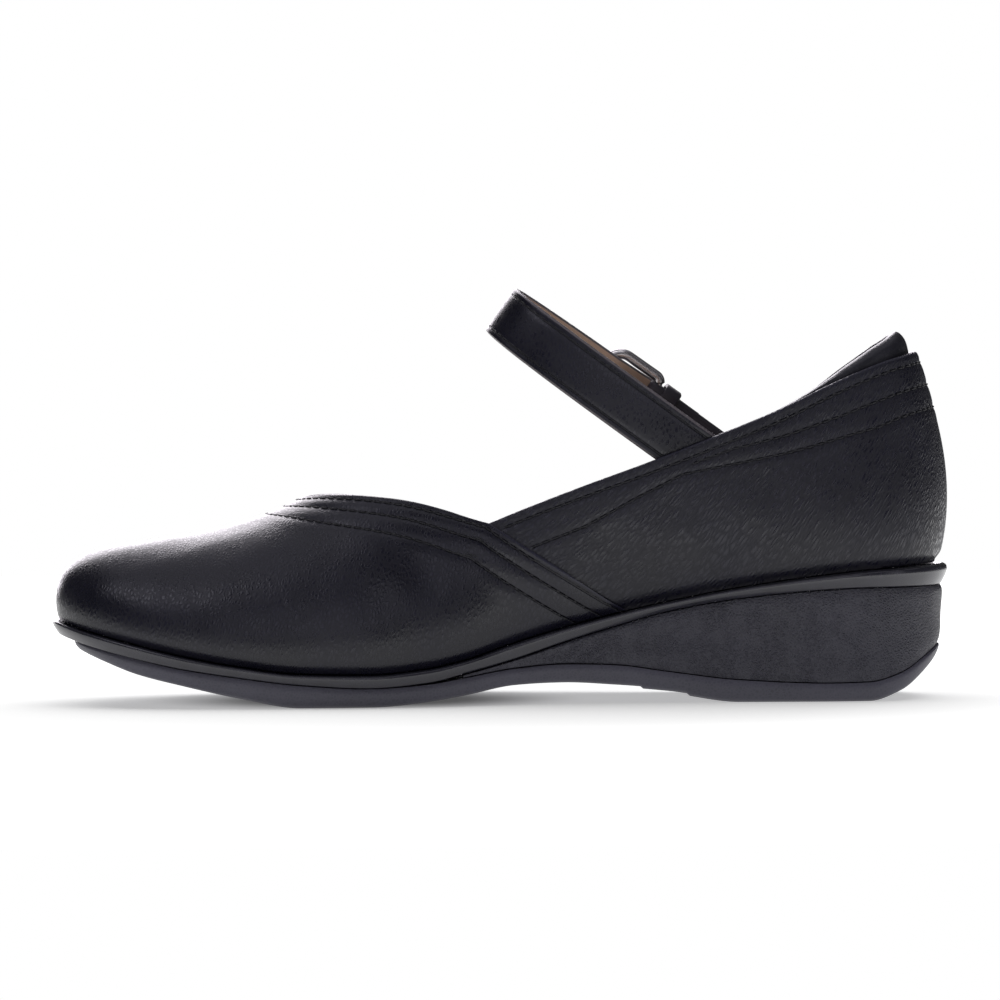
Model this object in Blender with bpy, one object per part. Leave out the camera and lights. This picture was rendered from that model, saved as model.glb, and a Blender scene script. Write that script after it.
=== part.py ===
"""Right mary jane shoe on a low wedge sole, modelled as its separate pieces.

The toe points along -X, the medial side faces -Y and +Z is up. Lengths below are in
millimetres, x counts from the toe tip, and the origin is the middle of the heel tread.
"""
import math

import bmesh
import bpy
import numpy as np
from mathutils import Vector

MEDIAL = -1
LATERAL = 1

# Driving sizes: the tables suit a shoe of TABLE_LENGTH, and SHOE_LENGTH grades it up or down
SHOE_LENGTH = 256.0
TABLE_LENGTH = 256.0
MM = 0.001 * SHOE_LENGTH / TABLE_LENGTH
HEEL_TREAD_X = 214.0
WALL = 2.0
VAMP_LAP = 0.9
CLEARANCE = 0.35
INSOLE_THICK = 2.6
RIBS_PER_ROW = 3
RIB_STEPS = 10
MERGE_DISTANCE = 0.000001
SMOOTH_ANGLE = math.radians(40.0)

# Strap loop: a band that stands across a plane which rises towards the toe
STRAP_BASE_X = 182.0
STRAP_BASE_Z = 72.0
STRAP_RISE = math.radians(36.0)
STRAP_ROLL = 0.0233
STRAP_WIDTH = 15.5
STRAP_END_WIDTH = 14.0
STRAP_THICK = 2.2
STRAP_REACH = 65.6
STRAP_MEDIAL = 24.6
STRAP_LATERAL = 26.4
STRAP_ROUNDNESS = 2.3
STRAP_TUCK = 12.0
STRAP_TUCK_LEAN = 0.12
LOOP_STEP = 6
LOOP_END = 48
# Section of a band, one row for each edge: share of the width, share of the thickness
BAND_EDGE = ((-0.5, 0.5), (-0.44, 1.0), (0.44, 1.0), (0.5, 0.5))
# Lateral end of the strap: distance from the collar, lift outwards
STRAP_TAIL = (
    (38.0, 0.0), (34.0, -0.3), (29.6, -0.3), (27.6, 0.5), (19.4, 5.3), (16.4, 6.7), (13.6, 6.8),
    (10.6, 6.3), (7.0, 5.7), (3.0, 5.2),
)

# Buckle on the lateral leg of the strap
BUCKLE_AT = 23.9
BUCKLE_LENGTH = 19.0
BUCKLE_WIDTH = 20.4
BUCKLE_WIRE = 1.2
BUCKLE_BAND = 1.5
BUCKLE_LIFT = 2.45
BUCKLE_FRONT_CORNER = 4.6
BUCKLE_BAR_CORNER = 2.2
BAR_RADIUS = 0.9
FRAME_SIDES = 10
PRONG_RADIUS = 0.75
PRONG_SIDES = 8
PRONG_TIP = 0.7
PRONG_BOW = 0.9
SLOT_HALF_WIDTH = 1.5
SLOT_DEPTH = 8.0
STRAP_SLOT = (-4.6, 3.6)
TAB_SLOT = (-0.5, 4.0)
# Tab: up the inside from the collar, round the buckle's bar and back down outside
TAB_THICK = 1.3
TAB_INSIDE = ((-14.0, 0.0), (-4.0, 0.3), (4.0, 0.5), (10.4, 0.55))
TAB_OUTSIDE = ((10.2, 3.6), (6.0, 2.7), (2.0, 2.3))
TAB_FOLD_STEP = 30
KEEPER_AT = 11.5
KEEPER_LENGTH = 5.0
KEEPER_WALL = 1.1
KEEPER_CORNER = 1.0

# One row for each rib of the upper, which runs from the feather edge to the throat or topline.
# The first rib lies on the vamp's ridge, the last up the back of the heel.
# foot_*: feather edge on the sole. top_*: throat edge, then topline of the quarter.
# drop: how much lower the lateral topline is. flare, foot_reach: lean and pull at the sole.
# dip, top_reach: slope below level and pull at the top edge.
LAST_COLUMNS = (
    "foot_x", "foot_medial", "foot_lateral", "top_x", "top_medial", "top_lateral", "top_z",
    "drop", "flare", "foot_reach", "dip", "top_reach",
)
LAST_ROWS = (
    (2.5, -7.0, -7.0, 71.4, -2.5, -2.5, 57.4, 0.0, 10, 31.0, 29, 40.5),
    (4.2, -16.8, 2.6, 72.2, -6.5, 1.5, 57.7, 0.3, 11, 29.0, 29, 40.0),
    (11.5, -26.4, 14.4, 74.2, -11.0, 6.5, 58.3, 0.7, 13, 23.0, 32, 36.0),
    (24.0, -34.0, 25.0, 77.5, -15.2, 11.2, 58.8, 1.2, 15, 17.0, 36, 31.0),
    (40.0, -38.8, 33.6, 82.0, -18.8, 15.8, 59.0, 1.7, 17, 15.5, 40, 27.5),
    (58.0, -41.5, 40.0, 87.0, -21.6, 19.6, 59.0, 2.2, 18, 15.5, 45, 24.0),
    (76.0, -42.0, 43.8, 93.0, -24.1, 23.0, 58.6, 2.6, 19, 16.0, 50, 21.0),
    (94.0, -40.3, 44.6, 99.5, -25.9, 25.6, 57.9, 3.0, 19, 16.0, 56, 18.0),
    (112.0, -35.6, 42.0, 106.0, -27.3, 27.8, 56.7, 3.4, 20, 15.5, 61, 15.5),
    (130.0, -30.3, 38.6, 112.5, -28.5, 29.8, 55.0, 3.7, 20, 15.0, 66, 14.0),
    (147.5, -26.8, 35.2, 118.5, -29.4, 31.4, 53.1, 4.0, 20, 14.5, 71, 14.0),
    (163.7, -25.2, 32.5, 124.6, -30.0, 32.6, 51.3, 4.2, 20, 15.0, 74, 15.0),
    (174.0, -25.0, 31.1, 137.0, -30.6, 33.4, 56.2, 4.4, 19, 15.0, 77, 14.5),
    (186.0, -25.5, 30.2, 153.0, -30.4, 33.2, 62.1, 4.4, 18, 15.5, 79, 15.0),
    (199.0, -26.2, 29.6, 171.0, -29.3, 31.8, 68.4, 4.2, 17, 16.5, 80, 16.0),
    (212.0, -26.8, 29.2, 189.0, -27.2, 29.4, 75.2, 3.8, 16, 17.5, 80, 17.0),
    (225.5, -26.7, 28.4, 207.0, -24.4, 26.0, 82.3, 3.0, 16, 18.5, 80, 18.0),
    (237.2, -24.4, 25.6, 223.0, -21.0, 22.0, 89.8, 2.0, 16, 20.0, 79, 19.5),
    (245.6, -18.8, 19.4, 236.4, -16.2, 16.6, 95.2, 1.0, 16, 21.0, 77, 20.5),
    (251.0, -10.4, 10.6, 244.6, -9.2, 9.4, 97.4, 0.3, 16, 21.5, 74, 21.5),
    (253.0, 0.0, 0.0, 247.5, 0.0, 0.0, 97.9, 0.0, 16, 21.7, 72, 21.7),
)
SEAM_ROW = 11
LAST_ROW = len(LAST_ROWS) - 1
SEAM_GAP = 0.02
SLANT_START_ROW = 5.0
SLANT_END_ROW = 10.0

# Heights of the sole's layers along the shoe, one row for each section.
SOLE_COLUMNS = ("x", "feather", "rim_low", "groove", "tread")
SOLE_ROWS = (
    (0.0, 25.0, 20.9, 20.9, 18.8),
    (8.0, 22.4, 18.3, 18.3, 15.4),
    (15.0, 20.5, 16.4, 16.4, 12.7),
    (24.0, 18.2, 14.2, 14.2, 9.5),
    (37.0, 15.1, 11.4, 11.4, 6.4),
    (53.0, 12.2, 9.0, 9.0, 2.9),
    (71.0, 10.0, 6.8, 6.8, 0.0),
    (91.0, 9.6, 5.7, 5.7, 0.0),
    (107.0, 11.0, 6.9, 6.6, 1.0),
    (118.0, 13.3, 9.4, 8.3, 2.3),
    (132.0, 17.9, 13.2, 10.6, 4.4),
    (146.0, 22.0, 17.8, 11.6, 4.8),
    (160.0, 25.6, 22.0, 11.2, 4.0),
    (176.0, 29.2, 26.3, 9.1, 2.6),
    (196.0, 33.0, 29.8, 6.7, 0.0),
    (222.0, 36.6, 32.2, 5.6, 0.0),
    (233.0, 37.7, 32.6, 5.8, 0.0),
    (242.0, 38.2, 32.6, 8.2, 2.8),
    (249.0, 38.5, 32.5, 12.7, 8.2),
    (256.0, 38.6, 32.4, 18.4, 15.8),
)
WEDGE_FRONT_X = 117.0
TREAD_STEPS_X = (168.0, 181.0)
TREAD_STEP = 0.6
TREAD_STEP_RUN = 0.3
WAIST_START_X = 95.0
WAIST_RISE_LENGTH = 45.0
TOE_SET_BACK = 4.0
TOE_SET_BACK_LENGTH = 40.0

# Edge profiles of the sole's layers, bottom to top: reach past the feather edge, share of height.
OUTSOLE_EDGE = ((-2.8, 0.0), (-0.9, 0.16), (-0.1, 0.45), (0.1, 0.8), (-0.3, 1.0))
WEDGE_EDGE = ((-0.3, 0.0), (0.2, 0.06), (0.7, 0.5), (1.0, 0.94), (0.5, 1.0))
RIM_EDGE = ((0.8, 0.0), (1.4, 0.18), (2.1, 0.42), (2.5, 0.64), (2.4, 0.86), (1.0, 1.0))
INSOLE_EDGE = ((-3.1, 0.0), (-2.6, 0.5), (-3.0, 1.0))

# Collar pad, one row for each corner of its section: height share above or below the topline,
# and distance inwards from the upper's inner face.
PAD_FIRST_ROW = 16
PAD_DEPTH = 16.0
PAD_RISE_BACK = 6.6
PAD_RISE_FRONT = 0.6
PAD_GAP = 0.5
PAD_FILL_FRONT = 0.3
PAD_TAPER_ROWS = 2.0
PAD_SECTION = (
    ("below", 1.0, 0.0), ("below", 0.55, 0.0), ("below", 0.1, 0.0), ("above", 0.55, -0.3),
    ("above", 0.92, 0.6), ("above", 1.0, 2.2), ("above", 0.75, 3.9), ("below", 0.1, 4.9),
    ("below", 0.55, 4.1), ("below", 1.0, 1.3),
)

# Finishes: colour, roughness, metallic
FINISHES = {
    "black_leather": ((0.018, 0.017, 0.024), 0.42, 0.0),
    "black_lining": ((0.013, 0.013, 0.016), 0.55, 0.0),
    "rim_rubber": ((0.016, 0.016, 0.021), 0.30, 0.0),
    "wedge_rubber": ((0.028, 0.028, 0.034), 0.62, 0.0),
    "outsole_rubber": ((0.022, 0.022, 0.027), 0.58, 0.0),
    "sock_lining": ((0.03, 0.028, 0.03), 0.75, 0.0),
    "gunmetal": ((0.20, 0.20, 0.21), 0.28, 1.0),
}


def clear_scene():
    """Remove the objects that a new file starts with."""
    for old in list(bpy.data.objects):
        bpy.data.objects.remove(old, do_unlink=True)


def make_finish(name):
    """Principled material for one finish."""
    colour, roughness, metallic = FINISHES[name]
    material = bpy.data.materials.new(name)
    material.use_nodes = True
    shader = material.node_tree.nodes["Principled BSDF"]
    shader.inputs["Base Color"].default_value = (*colour, 1.0)
    shader.inputs["Roughness"].default_value = roughness
    shader.inputs["Metallic"].default_value = metallic
    return material


def placed(point):
    """Part coordinates in metres of a point given in millimetres from the toe tip."""
    return Vector(((point[0] - HEEL_TREAD_X) * MM, point[1] * MM, point[2] * MM))


def add_piece(name, bm, finish):
    """Turn a bmesh into a named object, its faces pointing out and its round parts smooth."""
    bmesh.ops.remove_doubles(bm, verts=bm.verts, dist=MERGE_DISTANCE)
    bmesh.ops.triangulate(bm, faces=[face for face in bm.faces if len(face.verts) > 4])
    bmesh.ops.recalc_face_normals(bm, faces=bm.faces)
    mesh = bpy.data.meshes.new(name)
    bm.to_mesh(mesh)
    bm.free()
    mesh.materials.append(make_finish(finish))
    mesh.shade_smooth()
    mesh.set_sharp_from_angle(angle=SMOOTH_ANGLE)
    piece = bpy.data.objects.new(name, mesh)
    bpy.context.scene.collection.objects.link(piece)
    return piece


def ease(value):
    """Smooth step from 0 to 1."""
    value = min(max(value, 0.0), 1.0)
    return value * value * (3.0 - 2.0 * value)


def sole_height(column, x):
    """Height of one of the sole's layers at x, on a curve without overshoot."""
    xs = np.array([row[0] for row in SOLE_ROWS])
    ys = np.array([row[SOLE_COLUMNS.index(column)] for row in SOLE_ROWS])
    steps = np.diff(xs)
    slopes = np.diff(ys) / steps
    left = slopes[:-1]
    right = slopes[1:]
    same_way = left * right > 0.0
    total = np.where(same_way, left + right, 1.0)
    inner = np.where(same_way, 2.0 * left * right / total, 0.0)
    tangents = np.concatenate(([slopes[0]], inner, [slopes[-1]]))
    x = min(max(x, xs[0]), xs[-1])
    index = min(int(np.searchsorted(xs, x, side="right")) - 1, len(xs) - 2)
    share = (x - xs[index]) / steps[index]
    return hermite(ys[index], ys[index + 1], tangents[index] * steps[index],
                   tangents[index + 1] * steps[index], share)


def hermite(start, end, start_slope, end_slope, share):
    """Cubic between two values with the given end slopes."""
    square = share * share
    cube = square * share
    rise = 3.0 * square - 2.0 * cube
    return (start + (end - start) * rise + start_slope * (cube - 2.0 * square + share)
            + end_slope * (cube - square))


def last_value(column, place, corners=(), flat=()):
    """Smooth value of a column of the last at a fractional row.

    The curve may turn sharply at the rows in corners, and runs level at those in flat.
    """
    values = [row[LAST_COLUMNS.index(column)] for row in LAST_ROWS]
    index = min(max(int(math.floor(place + 1e-9)), 0), LAST_ROW - 1)
    step = values[index + 1] - values[index]
    slopes = []
    for row in (index, index + 1):
        if row in flat:
            slopes.append(0.0)
        elif row in corners or row in (0, LAST_ROW):
            slopes.append(step)
        else:
            slopes.append(0.5 * (values[row + 1] - values[row - 1]))
    return hermite(values[index], values[index + 1], slopes[0], slopes[1], place - index)


def foot_point(place, side):
    """Feather edge, where the upper meets the sole."""
    x = last_value("foot_x", place, flat=(0, LAST_ROW))
    y = last_value("foot_medial" if side == MEDIAL else "foot_lateral", place)
    return Vector((x, y, sole_height("feather", x)))


def top_point(place, side):
    """Throat edge of the vamp, and the topline of the quarter behind it."""
    corners = (SEAM_ROW,)
    ends = (0, LAST_ROW)
    x = last_value("top_x", place, corners, ends)
    y = last_value("top_medial" if side == MEDIAL else "top_lateral", place, corners)
    z = last_value("top_z", place, corners, ends)
    if side == LATERAL:
        z -= last_value("drop", place, corners)
    return Vector((x, y, z))


def outward(place, side, edge=foot_point):
    """Level direction out of the shoe, square to an edge of the upper."""
    step = 0.02
    before = edge(max(place - step, 0.0), side)
    after = edge(min(place + step, LAST_ROW), side)
    run = after - before
    return Vector((-run.y * side, run.x * side, 0.0)).normalized()


def rib(place, side):
    """Four control points of the rib that runs from the feather edge to the top edge."""
    foot = foot_point(place, side)
    top = top_point(place, side)
    chord = foot - top
    level = Vector((chord.x, chord.y, 0.0)).normalized()
    slant = ease((place - SLANT_START_ROW) / (SLANT_END_ROW - SLANT_START_ROW))
    upright = Vector((0.0, 0.0, 1.0))
    out_foot = outward(place, side)
    out_top = (outward(place, side, top_point) + level * (1.0 - slant)).normalized()
    along_foot = (out_foot * chord.dot(out_foot) - chord).normalized()
    along_top = (out_top * chord.dot(out_top) - chord).normalized()
    up_foot = upright.lerp(along_foot, slant).normalized()
    up_top = upright.lerp(along_top, slant).normalized()
    flare = math.radians(last_value("flare", place))
    dip = math.radians(last_value("dip", place))
    foot_pull = up_foot * math.cos(flare) + out_foot * math.sin(flare)
    top_pull = out_top * math.cos(dip) - up_top * math.sin(dip)
    foot_handle = foot + foot_pull * last_value("foot_reach", place)
    top_handle = top + top_pull * last_value("top_reach", place)
    return foot, foot_handle, top_handle, top


def rib_point(controls, share):
    """Point on a rib, from 0 at the sole to 1 at the top."""
    foot, foot_handle, top_handle, top = controls
    rest = 1.0 - share
    return (foot * rest ** 3 + foot_handle * (3.0 * rest * rest * share)
            + top_handle * (3.0 * rest * share * share) + top * share ** 3)


def rib_places():
    """Fractional rows at which the upper has a rib, with a pair at the vamp's lapped edge."""
    places = [index / RIBS_PER_ROW for index in range(LAST_ROW * RIBS_PER_ROW + 1)]
    places.remove(float(SEAM_ROW))
    places += [SEAM_ROW - SEAM_GAP, SEAM_ROW + SEAM_GAP]
    return sorted(places)


def skin(bm, rows, closed=False):
    """Faces between neighbouring rows of vertices."""
    for row, following in zip(rows[:-1], rows[1:]):
        count = len(row)
        for index in range(count if closed else count - 1):
            beside = (index + 1) % count
            corners = [row[index], row[beside], following[beside], following[index]]
            corners = list(dict.fromkeys(corners))
            if len(corners) > 2:
                bm.faces.new(corners)


def upper_ribs(bm):
    """Outer skin of the upper: a closed ring of ribs, medial side first, then the lateral one."""
    places = rib_places()
    ring = [(place, MEDIAL) for place in places] + [(place, LATERAL) for place in places[-2:0:-1]]
    ribs = []
    for place, side in ring:
        controls = rib(place, side)
        points = [rib_point(controls, step / RIB_STEPS) for step in range(RIB_STEPS + 1)]
        ribs.append([bm.verts.new(point) for point in points])
    skin(bm, ribs + ribs[:1])
    return [place for place, side in ring], ribs


def build_upper():
    """Hollow leather upper: outer skin, inner skin and the edges that join them."""
    bm = bmesh.new()
    places, ribs = upper_ribs(bm)
    bm.normal_update()
    heel_middle = ribs[places.index(LAST_ROW)][RIB_STEPS // 2]
    facing = math.copysign(1.0, heel_middle.normal.x)
    normals = {vert: vert.normal * facing for vert in bm.verts}
    inner = {vert: bm.verts.new(vert.co - normal * WALL) for vert, normal in normals.items()}
    inner_ribs = [[inner[vert] for vert in column] for column in ribs]
    skin(bm, inner_ribs + inner_ribs[:1])
    for place, column in zip(places, ribs):
        if place < SEAM_ROW:
            for vert in column:
                vert.co += normals[vert] * VAMP_LAP
    for column in ribs + inner_ribs:
        column[0].co.z = sole_height("feather", column[0].co.x)
    for end in (0, -1):
        edge = [column[end] for column in ribs]
        skin(bm, [edge, [inner[vert] for vert in edge]], closed=True)
    for vert in bm.verts:
        vert.co = placed(vert.co)
    return add_piece("upper", bm, "black_leather")


def outline_pairs(places, reach):
    """Medial and lateral points of the feather edge's plan, moved outwards by reach(x)."""
    pairs = []
    for place in places:
        pair = []
        for side in (MEDIAL, LATERAL):
            foot = foot_point(place, side)
            moved = foot + outward(place, side) * reach(foot.x)
            pair.append((moved.x, moved.y))
        pairs.append(pair)
    return pairs


def place_at(x):
    """Fractional row at which the feather edge reaches x."""
    places = np.linspace(0.0, LAST_ROW, 500)
    return float(np.interp(x, [foot_point(place, MEDIAL).x for place in places], places))


def sole_places(first=0.0, extra=()):
    """Fractional rows at which a layer of the sole has a section."""
    places = [index / RIBS_PER_ROW for index in range(LAST_ROW * RIBS_PER_ROW + 1)]
    closest = 0.3 / RIBS_PER_ROW
    places = [place for place in places if place > first + closest] + [first, *extra]
    return sorted(set(places))


def build_layer(name, finish, places, edge, low, high, set_back=None):
    """Layer of the sole: loops of its edge profile, closed above and below by strips."""
    bm = bmesh.new()
    loops = []
    for reach, share in edge:
        def reach_at(x, reach=reach):
            return reach - (set_back(x) if set_back else 0.0)
        sides = ([], [])
        for pair in outline_pairs(places, reach_at):
            for points, (x, y) in zip(sides, pair):
                z = low(x) + (high(x) - low(x)) * share
                points.append(bm.verts.new(placed((x, y, z))))
        loops.append(sides)
    skin(bm, [medial + lateral[::-1] for medial, lateral in loops], closed=True)
    for medial, lateral in (loops[0], loops[-1]):
        skin(bm, [medial, lateral])
    return add_piece(name, bm, finish)


def tread_height(x):
    """Underside of the outsole: its waist is recessed and steps down to the heel's tread."""
    waist = ease((x - WAIST_START_X) / WAIST_RISE_LENGTH)
    steps_ahead = sum(x < step for step in TREAD_STEPS_X)
    return sole_height("tread", x) + TREAD_STEP * steps_ahead * waist


def toe_set_back(x):
    """How much further in the outsole lies under the toe."""
    return TOE_SET_BACK * (1.0 - ease(x / TOE_SET_BACK_LENGTH))


def build_sole():
    """Outsole, wedge, rim and insole, stacked with a small clearance."""
    steps = []
    for x in TREAD_STEPS_X:
        steps += [place_at(x - TREAD_STEP_RUN), place_at(x + TREAD_STEP_RUN)]
    build_layer("outsole", "outsole_rubber", sole_places(extra=steps), OUTSOLE_EDGE, tread_height,
                lambda x: sole_height("groove", x) - CLEARANCE, toe_set_back)
    build_layer("wedge_midsole", "wedge_rubber", sole_places(place_at(WEDGE_FRONT_X)), WEDGE_EDGE,
                lambda x: sole_height("groove", x), lambda x: sole_height("rim_low", x) - CLEARANCE)
    build_layer("sole_rim", "rim_rubber", sole_places(), RIM_EDGE,
                lambda x: sole_height("rim_low", x), lambda x: sole_height("feather", x) - CLEARANCE)
    build_layer("insole", "sock_lining", sole_places(), INSOLE_EDGE,
                lambda x: sole_height("feather", x),
                lambda x: sole_height("feather", x) + INSOLE_THICK)


def pad_ring(place, side):
    """Section of the collar pad at one rib."""
    controls = rib(place, side)
    length = (controls[3] - controls[0]).length
    back = ease((place - PAD_FIRST_ROW) / (LAST_ROW - PAD_FIRST_ROW))
    rise = PAD_RISE_FRONT + (PAD_RISE_BACK - PAD_RISE_FRONT) * back
    taper = ease((place - PAD_FIRST_ROW) / PAD_TAPER_ROWS)
    fill = PAD_FILL_FRONT + (1.0 - PAD_FILL_FRONT) * taper
    top = controls[3]
    climb = (top - rib_point(controls, 0.95)).normalized()
    out = outward(place, side)
    ring = []
    for where, share, inwards in PAD_SECTION:
        if where == "below":
            point = rib_point(controls, 1.0 - share * PAD_DEPTH / length)
        else:
            point = top + climb * (share * rise)
        ring.append(point - out * (WALL + PAD_GAP + inwards * fill))
    return ring


def build_collar_pad():
    """Padded collar round the heel, inside the quarter and a little above its topline."""
    places = [place for place in rib_places() if place >= PAD_FIRST_ROW]
    rings = [pad_ring(place, MEDIAL) for place in places]
    rings += [pad_ring(place, LATERAL) for place in reversed(places[:-1])]
    bm = bmesh.new()
    rows = [[bm.verts.new(placed(point)) for point in ring] for ring in rings]
    skin(bm, rows, closed=True)
    bm.faces.new(rows[0])
    bm.faces.new(rows[-1])
    return add_piece("collar_pad", bm, "black_lining")


def strap_width(across):
    """Width of the strap, which tapers from the medial collar to its buckled end."""
    share = ease((across + STRAP_MEDIAL) / (STRAP_MEDIAL + STRAP_LATERAL))
    return STRAP_WIDTH + (STRAP_END_WIDTH - STRAP_WIDTH) * share


def strap_point(along, across, over):
    """Point of the strap's tilted plane: along it towards the toe, across the shoe, over it."""
    over = over + (across + STRAP_MEDIAL) * STRAP_ROLL
    x = STRAP_BASE_X - along * math.cos(STRAP_RISE) + over * math.sin(STRAP_RISE)
    z = STRAP_BASE_Z + along * math.sin(STRAP_RISE) + over * math.cos(STRAP_RISE)
    return placed((x, across, z))


def loop_point(angle):
    """Strap loop in its plane: -90 degrees is the medial collar, 0 the front, 90 the lateral."""
    power = 2.0 / STRAP_ROUNDNESS
    side = STRAP_LATERAL if angle > 0 else STRAP_MEDIAL
    along = STRAP_REACH * max(math.cos(angle), 0.0) ** power
    across = side * math.copysign(abs(math.sin(angle)) ** power, angle)
    return along, across


def leg_place(along, lift):
    """Point and run of the lateral leg at a distance from the collar, lifted outwards."""
    def across(at):
        if at <= 0.0:
            return STRAP_LATERAL + at * STRAP_TUCK_LEAN
        return STRAP_LATERAL * (1.0 - (at / STRAP_REACH) ** STRAP_ROUNDNESS) ** (1 / STRAP_ROUNDNESS)
    step = 0.1
    slope = (across(along + step) - across(along - step)) / (2.0 * step)
    norm = math.hypot(1.0, slope)
    return along - lift * slope / norm, across(along) + lift / norm


def band(name, finish, path, thick):
    """Leather band that follows a path in the strap's plane, its edges slightly thinned."""
    points = [Vector(point) for point in path]
    bm = bmesh.new()
    rings = []
    for index, point in enumerate(points):
        before = points[max(index - 1, 0)]
        after = points[min(index + 1, len(points) - 1)]
        run = (after - before).normalized()
        normal = Vector((-run.y, run.x))
        ring = []
        for face in (-1, 1):
            for over, share in BAND_EDGE[::-face]:
                spot = point + normal * (face * 0.5 * thick * share)
                ring.append(bm.verts.new(strap_point(spot.x, spot.y, over * strap_width(spot.y))))
        rings.append(ring)
    skin(bm, rings, closed=True)
    bm.faces.new(rings[0])
    bm.faces.new(rings[-1])
    return add_piece(name, bm, finish)


def cut_slot(piece, low, high):
    """Slot through a band for the prong, by a hidden cutter."""
    outline = ((low, -SLOT_DEPTH), (high, -SLOT_DEPTH), (high, SLOT_DEPTH), (low, SLOT_DEPTH))
    bm = bmesh.new()
    corners = []
    for over in (-SLOT_HALF_WIDTH, SLOT_HALF_WIDTH):
        corners.append([bm.verts.new(strap_point(*leg_place(along, lift), over))
                        for along, lift in outline])
    skin(bm, corners, closed=True)
    bm.faces.new(corners[0])
    bm.faces.new(corners[1])
    cutter = add_piece(piece.name + "_cutter", bm, "black_lining")
    cutter.hide_render = True
    cutter.display_type = "WIRE"
    slot = piece.modifiers.new("prong_slot", "BOOLEAN")
    slot.operation = "DIFFERENCE"
    slot.object = cutter


def build_strap():
    """Strap from inside the medial collar, round the front of the loop and out through the buckle."""
    path = [(-STRAP_TUCK, -STRAP_MEDIAL + STRAP_TUCK * STRAP_TUCK_LEAN)]
    path += [loop_point(math.radians(angle)) for angle in range(-90, LOOP_END + 1, LOOP_STEP)]
    for along, lift in STRAP_TAIL:
        path.append(leg_place(along, lift))
    strap = band("strap", "black_leather", path, STRAP_THICK)
    cut_slot(strap, BUCKLE_AT + STRAP_SLOT[0], BUCKLE_AT + STRAP_SLOT[1])


def build_buckle_tab():
    """Lateral tab folded round the buckle's bar."""
    bar_at = BUCKLE_AT - BUCKLE_LENGTH / 2 + BUCKLE_BAND
    radius = BAR_RADIUS + CLEARANCE + TAB_THICK / 2
    path = [leg_place(along, lift) for along, lift in TAB_INSIDE]
    for turn in range(-90, 91, TAB_FOLD_STEP):
        angle = math.radians(turn)
        along = bar_at + radius * math.cos(angle)
        path.append(leg_place(along, BUCKLE_LIFT + radius * math.sin(angle)))
    path += [leg_place(along, lift) for along, lift in TAB_OUTSIDE]
    tab = band("buckle_tab", "black_leather", path, TAB_THICK)
    cut_slot(tab, bar_at + TAB_SLOT[0], bar_at + TAB_SLOT[1])


def tube(name, finish, spots, radii, sides, closed=False, widths=None):
    """Wire through spots given as along, lift and over on the lateral leg, flat where it is wider."""
    widths = widths or radii
    points = [strap_point(*leg_place(along, lift), over) for along, lift, over in spots]
    bm = bmesh.new()
    count = len(points)
    rings = []
    lifted = strap_point(*leg_place(BUCKLE_AT, BUCKLE_LIFT), 0.0)
    up = (lifted - strap_point(*leg_place(BUCKLE_AT, 0.0), 0.0)).normalized()
    for index, point in enumerate(points):
        before = points[index - 1] if closed or index else point
        after = points[(index + 1) % count] if closed or index < count - 1 else point
        run = (after - before).normalized()
        beside = run.cross(up).normalized()
        above = beside.cross(run)
        ring = []
        for step in range(sides):
            angle = 2.0 * math.pi * step / sides
            offset = beside * (widths[index] * math.cos(angle)) + above * (radii[index] * math.sin(angle))
            ring.append(bm.verts.new(point + offset * MM))
        rings.append(ring)
    if closed:
        rings.append(rings[0])
    skin(bm, rings, closed=True)
    if not closed:
        bm.faces.new(rings[0])
        bm.faces.new(rings[-1])
    return add_piece(name, bm, finish)


def rounded_frame(half_length, half_width, front_corner, back_corner):
    """Outline of a rounded rectangle as pairs of along and over."""
    steps = 4
    spots = []
    for quarter in range(4):
        corner = front_corner if quarter in (0, 3) else back_corner
        along = (half_length - corner) * (1, -1, -1, 1)[quarter]
        over = (half_width - corner) * (1, 1, -1, -1)[quarter]
        for step in range(steps + 1):
            angle = math.pi / 2 * (quarter + step / steps)
            spots.append((along + corner * math.cos(angle), over + corner * math.sin(angle)))
    return spots


def build_buckle():
    """Frame with its bar at the collar end, and the prong that lies on its front end."""
    half_length = BUCKLE_LENGTH / 2 - BUCKLE_BAND
    half_width = BUCKLE_WIDTH / 2 - BUCKLE_BAND
    corners = rounded_frame(half_length, half_width, BUCKLE_FRONT_CORNER, BUCKLE_BAR_CORNER)
    spots = [(BUCKLE_AT + along, BUCKLE_LIFT, over) for along, over in corners]
    bar_half = half_width - BUCKLE_WIRE
    on_bar = [abs(over) < bar_half and along < 0.0 for along, over in corners]
    radii = [BAR_RADIUS if thin else BUCKLE_WIRE for thin in on_bar]
    widths = [BAR_RADIUS if thin else BUCKLE_BAND for thin in on_bar]
    tube("buckle_frame", "gunmetal", spots, radii, FRAME_SIDES, closed=True, widths=widths)
    bar = BUCKLE_AT - half_length
    front = BUCKLE_AT + half_length
    rest = BUCKLE_LIFT + BUCKLE_WIRE + CLEARANCE + PRONG_RADIUS
    root = bar + BAR_RADIUS + CLEARANCE
    prong = [(root, BUCKLE_LIFT, 0.0), (BUCKLE_AT - BUCKLE_WIRE, BUCKLE_LIFT + PRONG_BOW, 0.0),
             (BUCKLE_AT + BUCKLE_LENGTH / 5, rest - CLEARANCE, 0.0),
             (front - BUCKLE_WIRE / 2, rest, 0.0), (front + BUCKLE_WIRE * PRONG_TIP, rest, 0.0)]
    radii = [PRONG_RADIUS] * (len(prong) - 1) + [PRONG_RADIUS * PRONG_TIP]
    tube("buckle_prong", "gunmetal", prong, radii, PRONG_SIDES)


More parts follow.
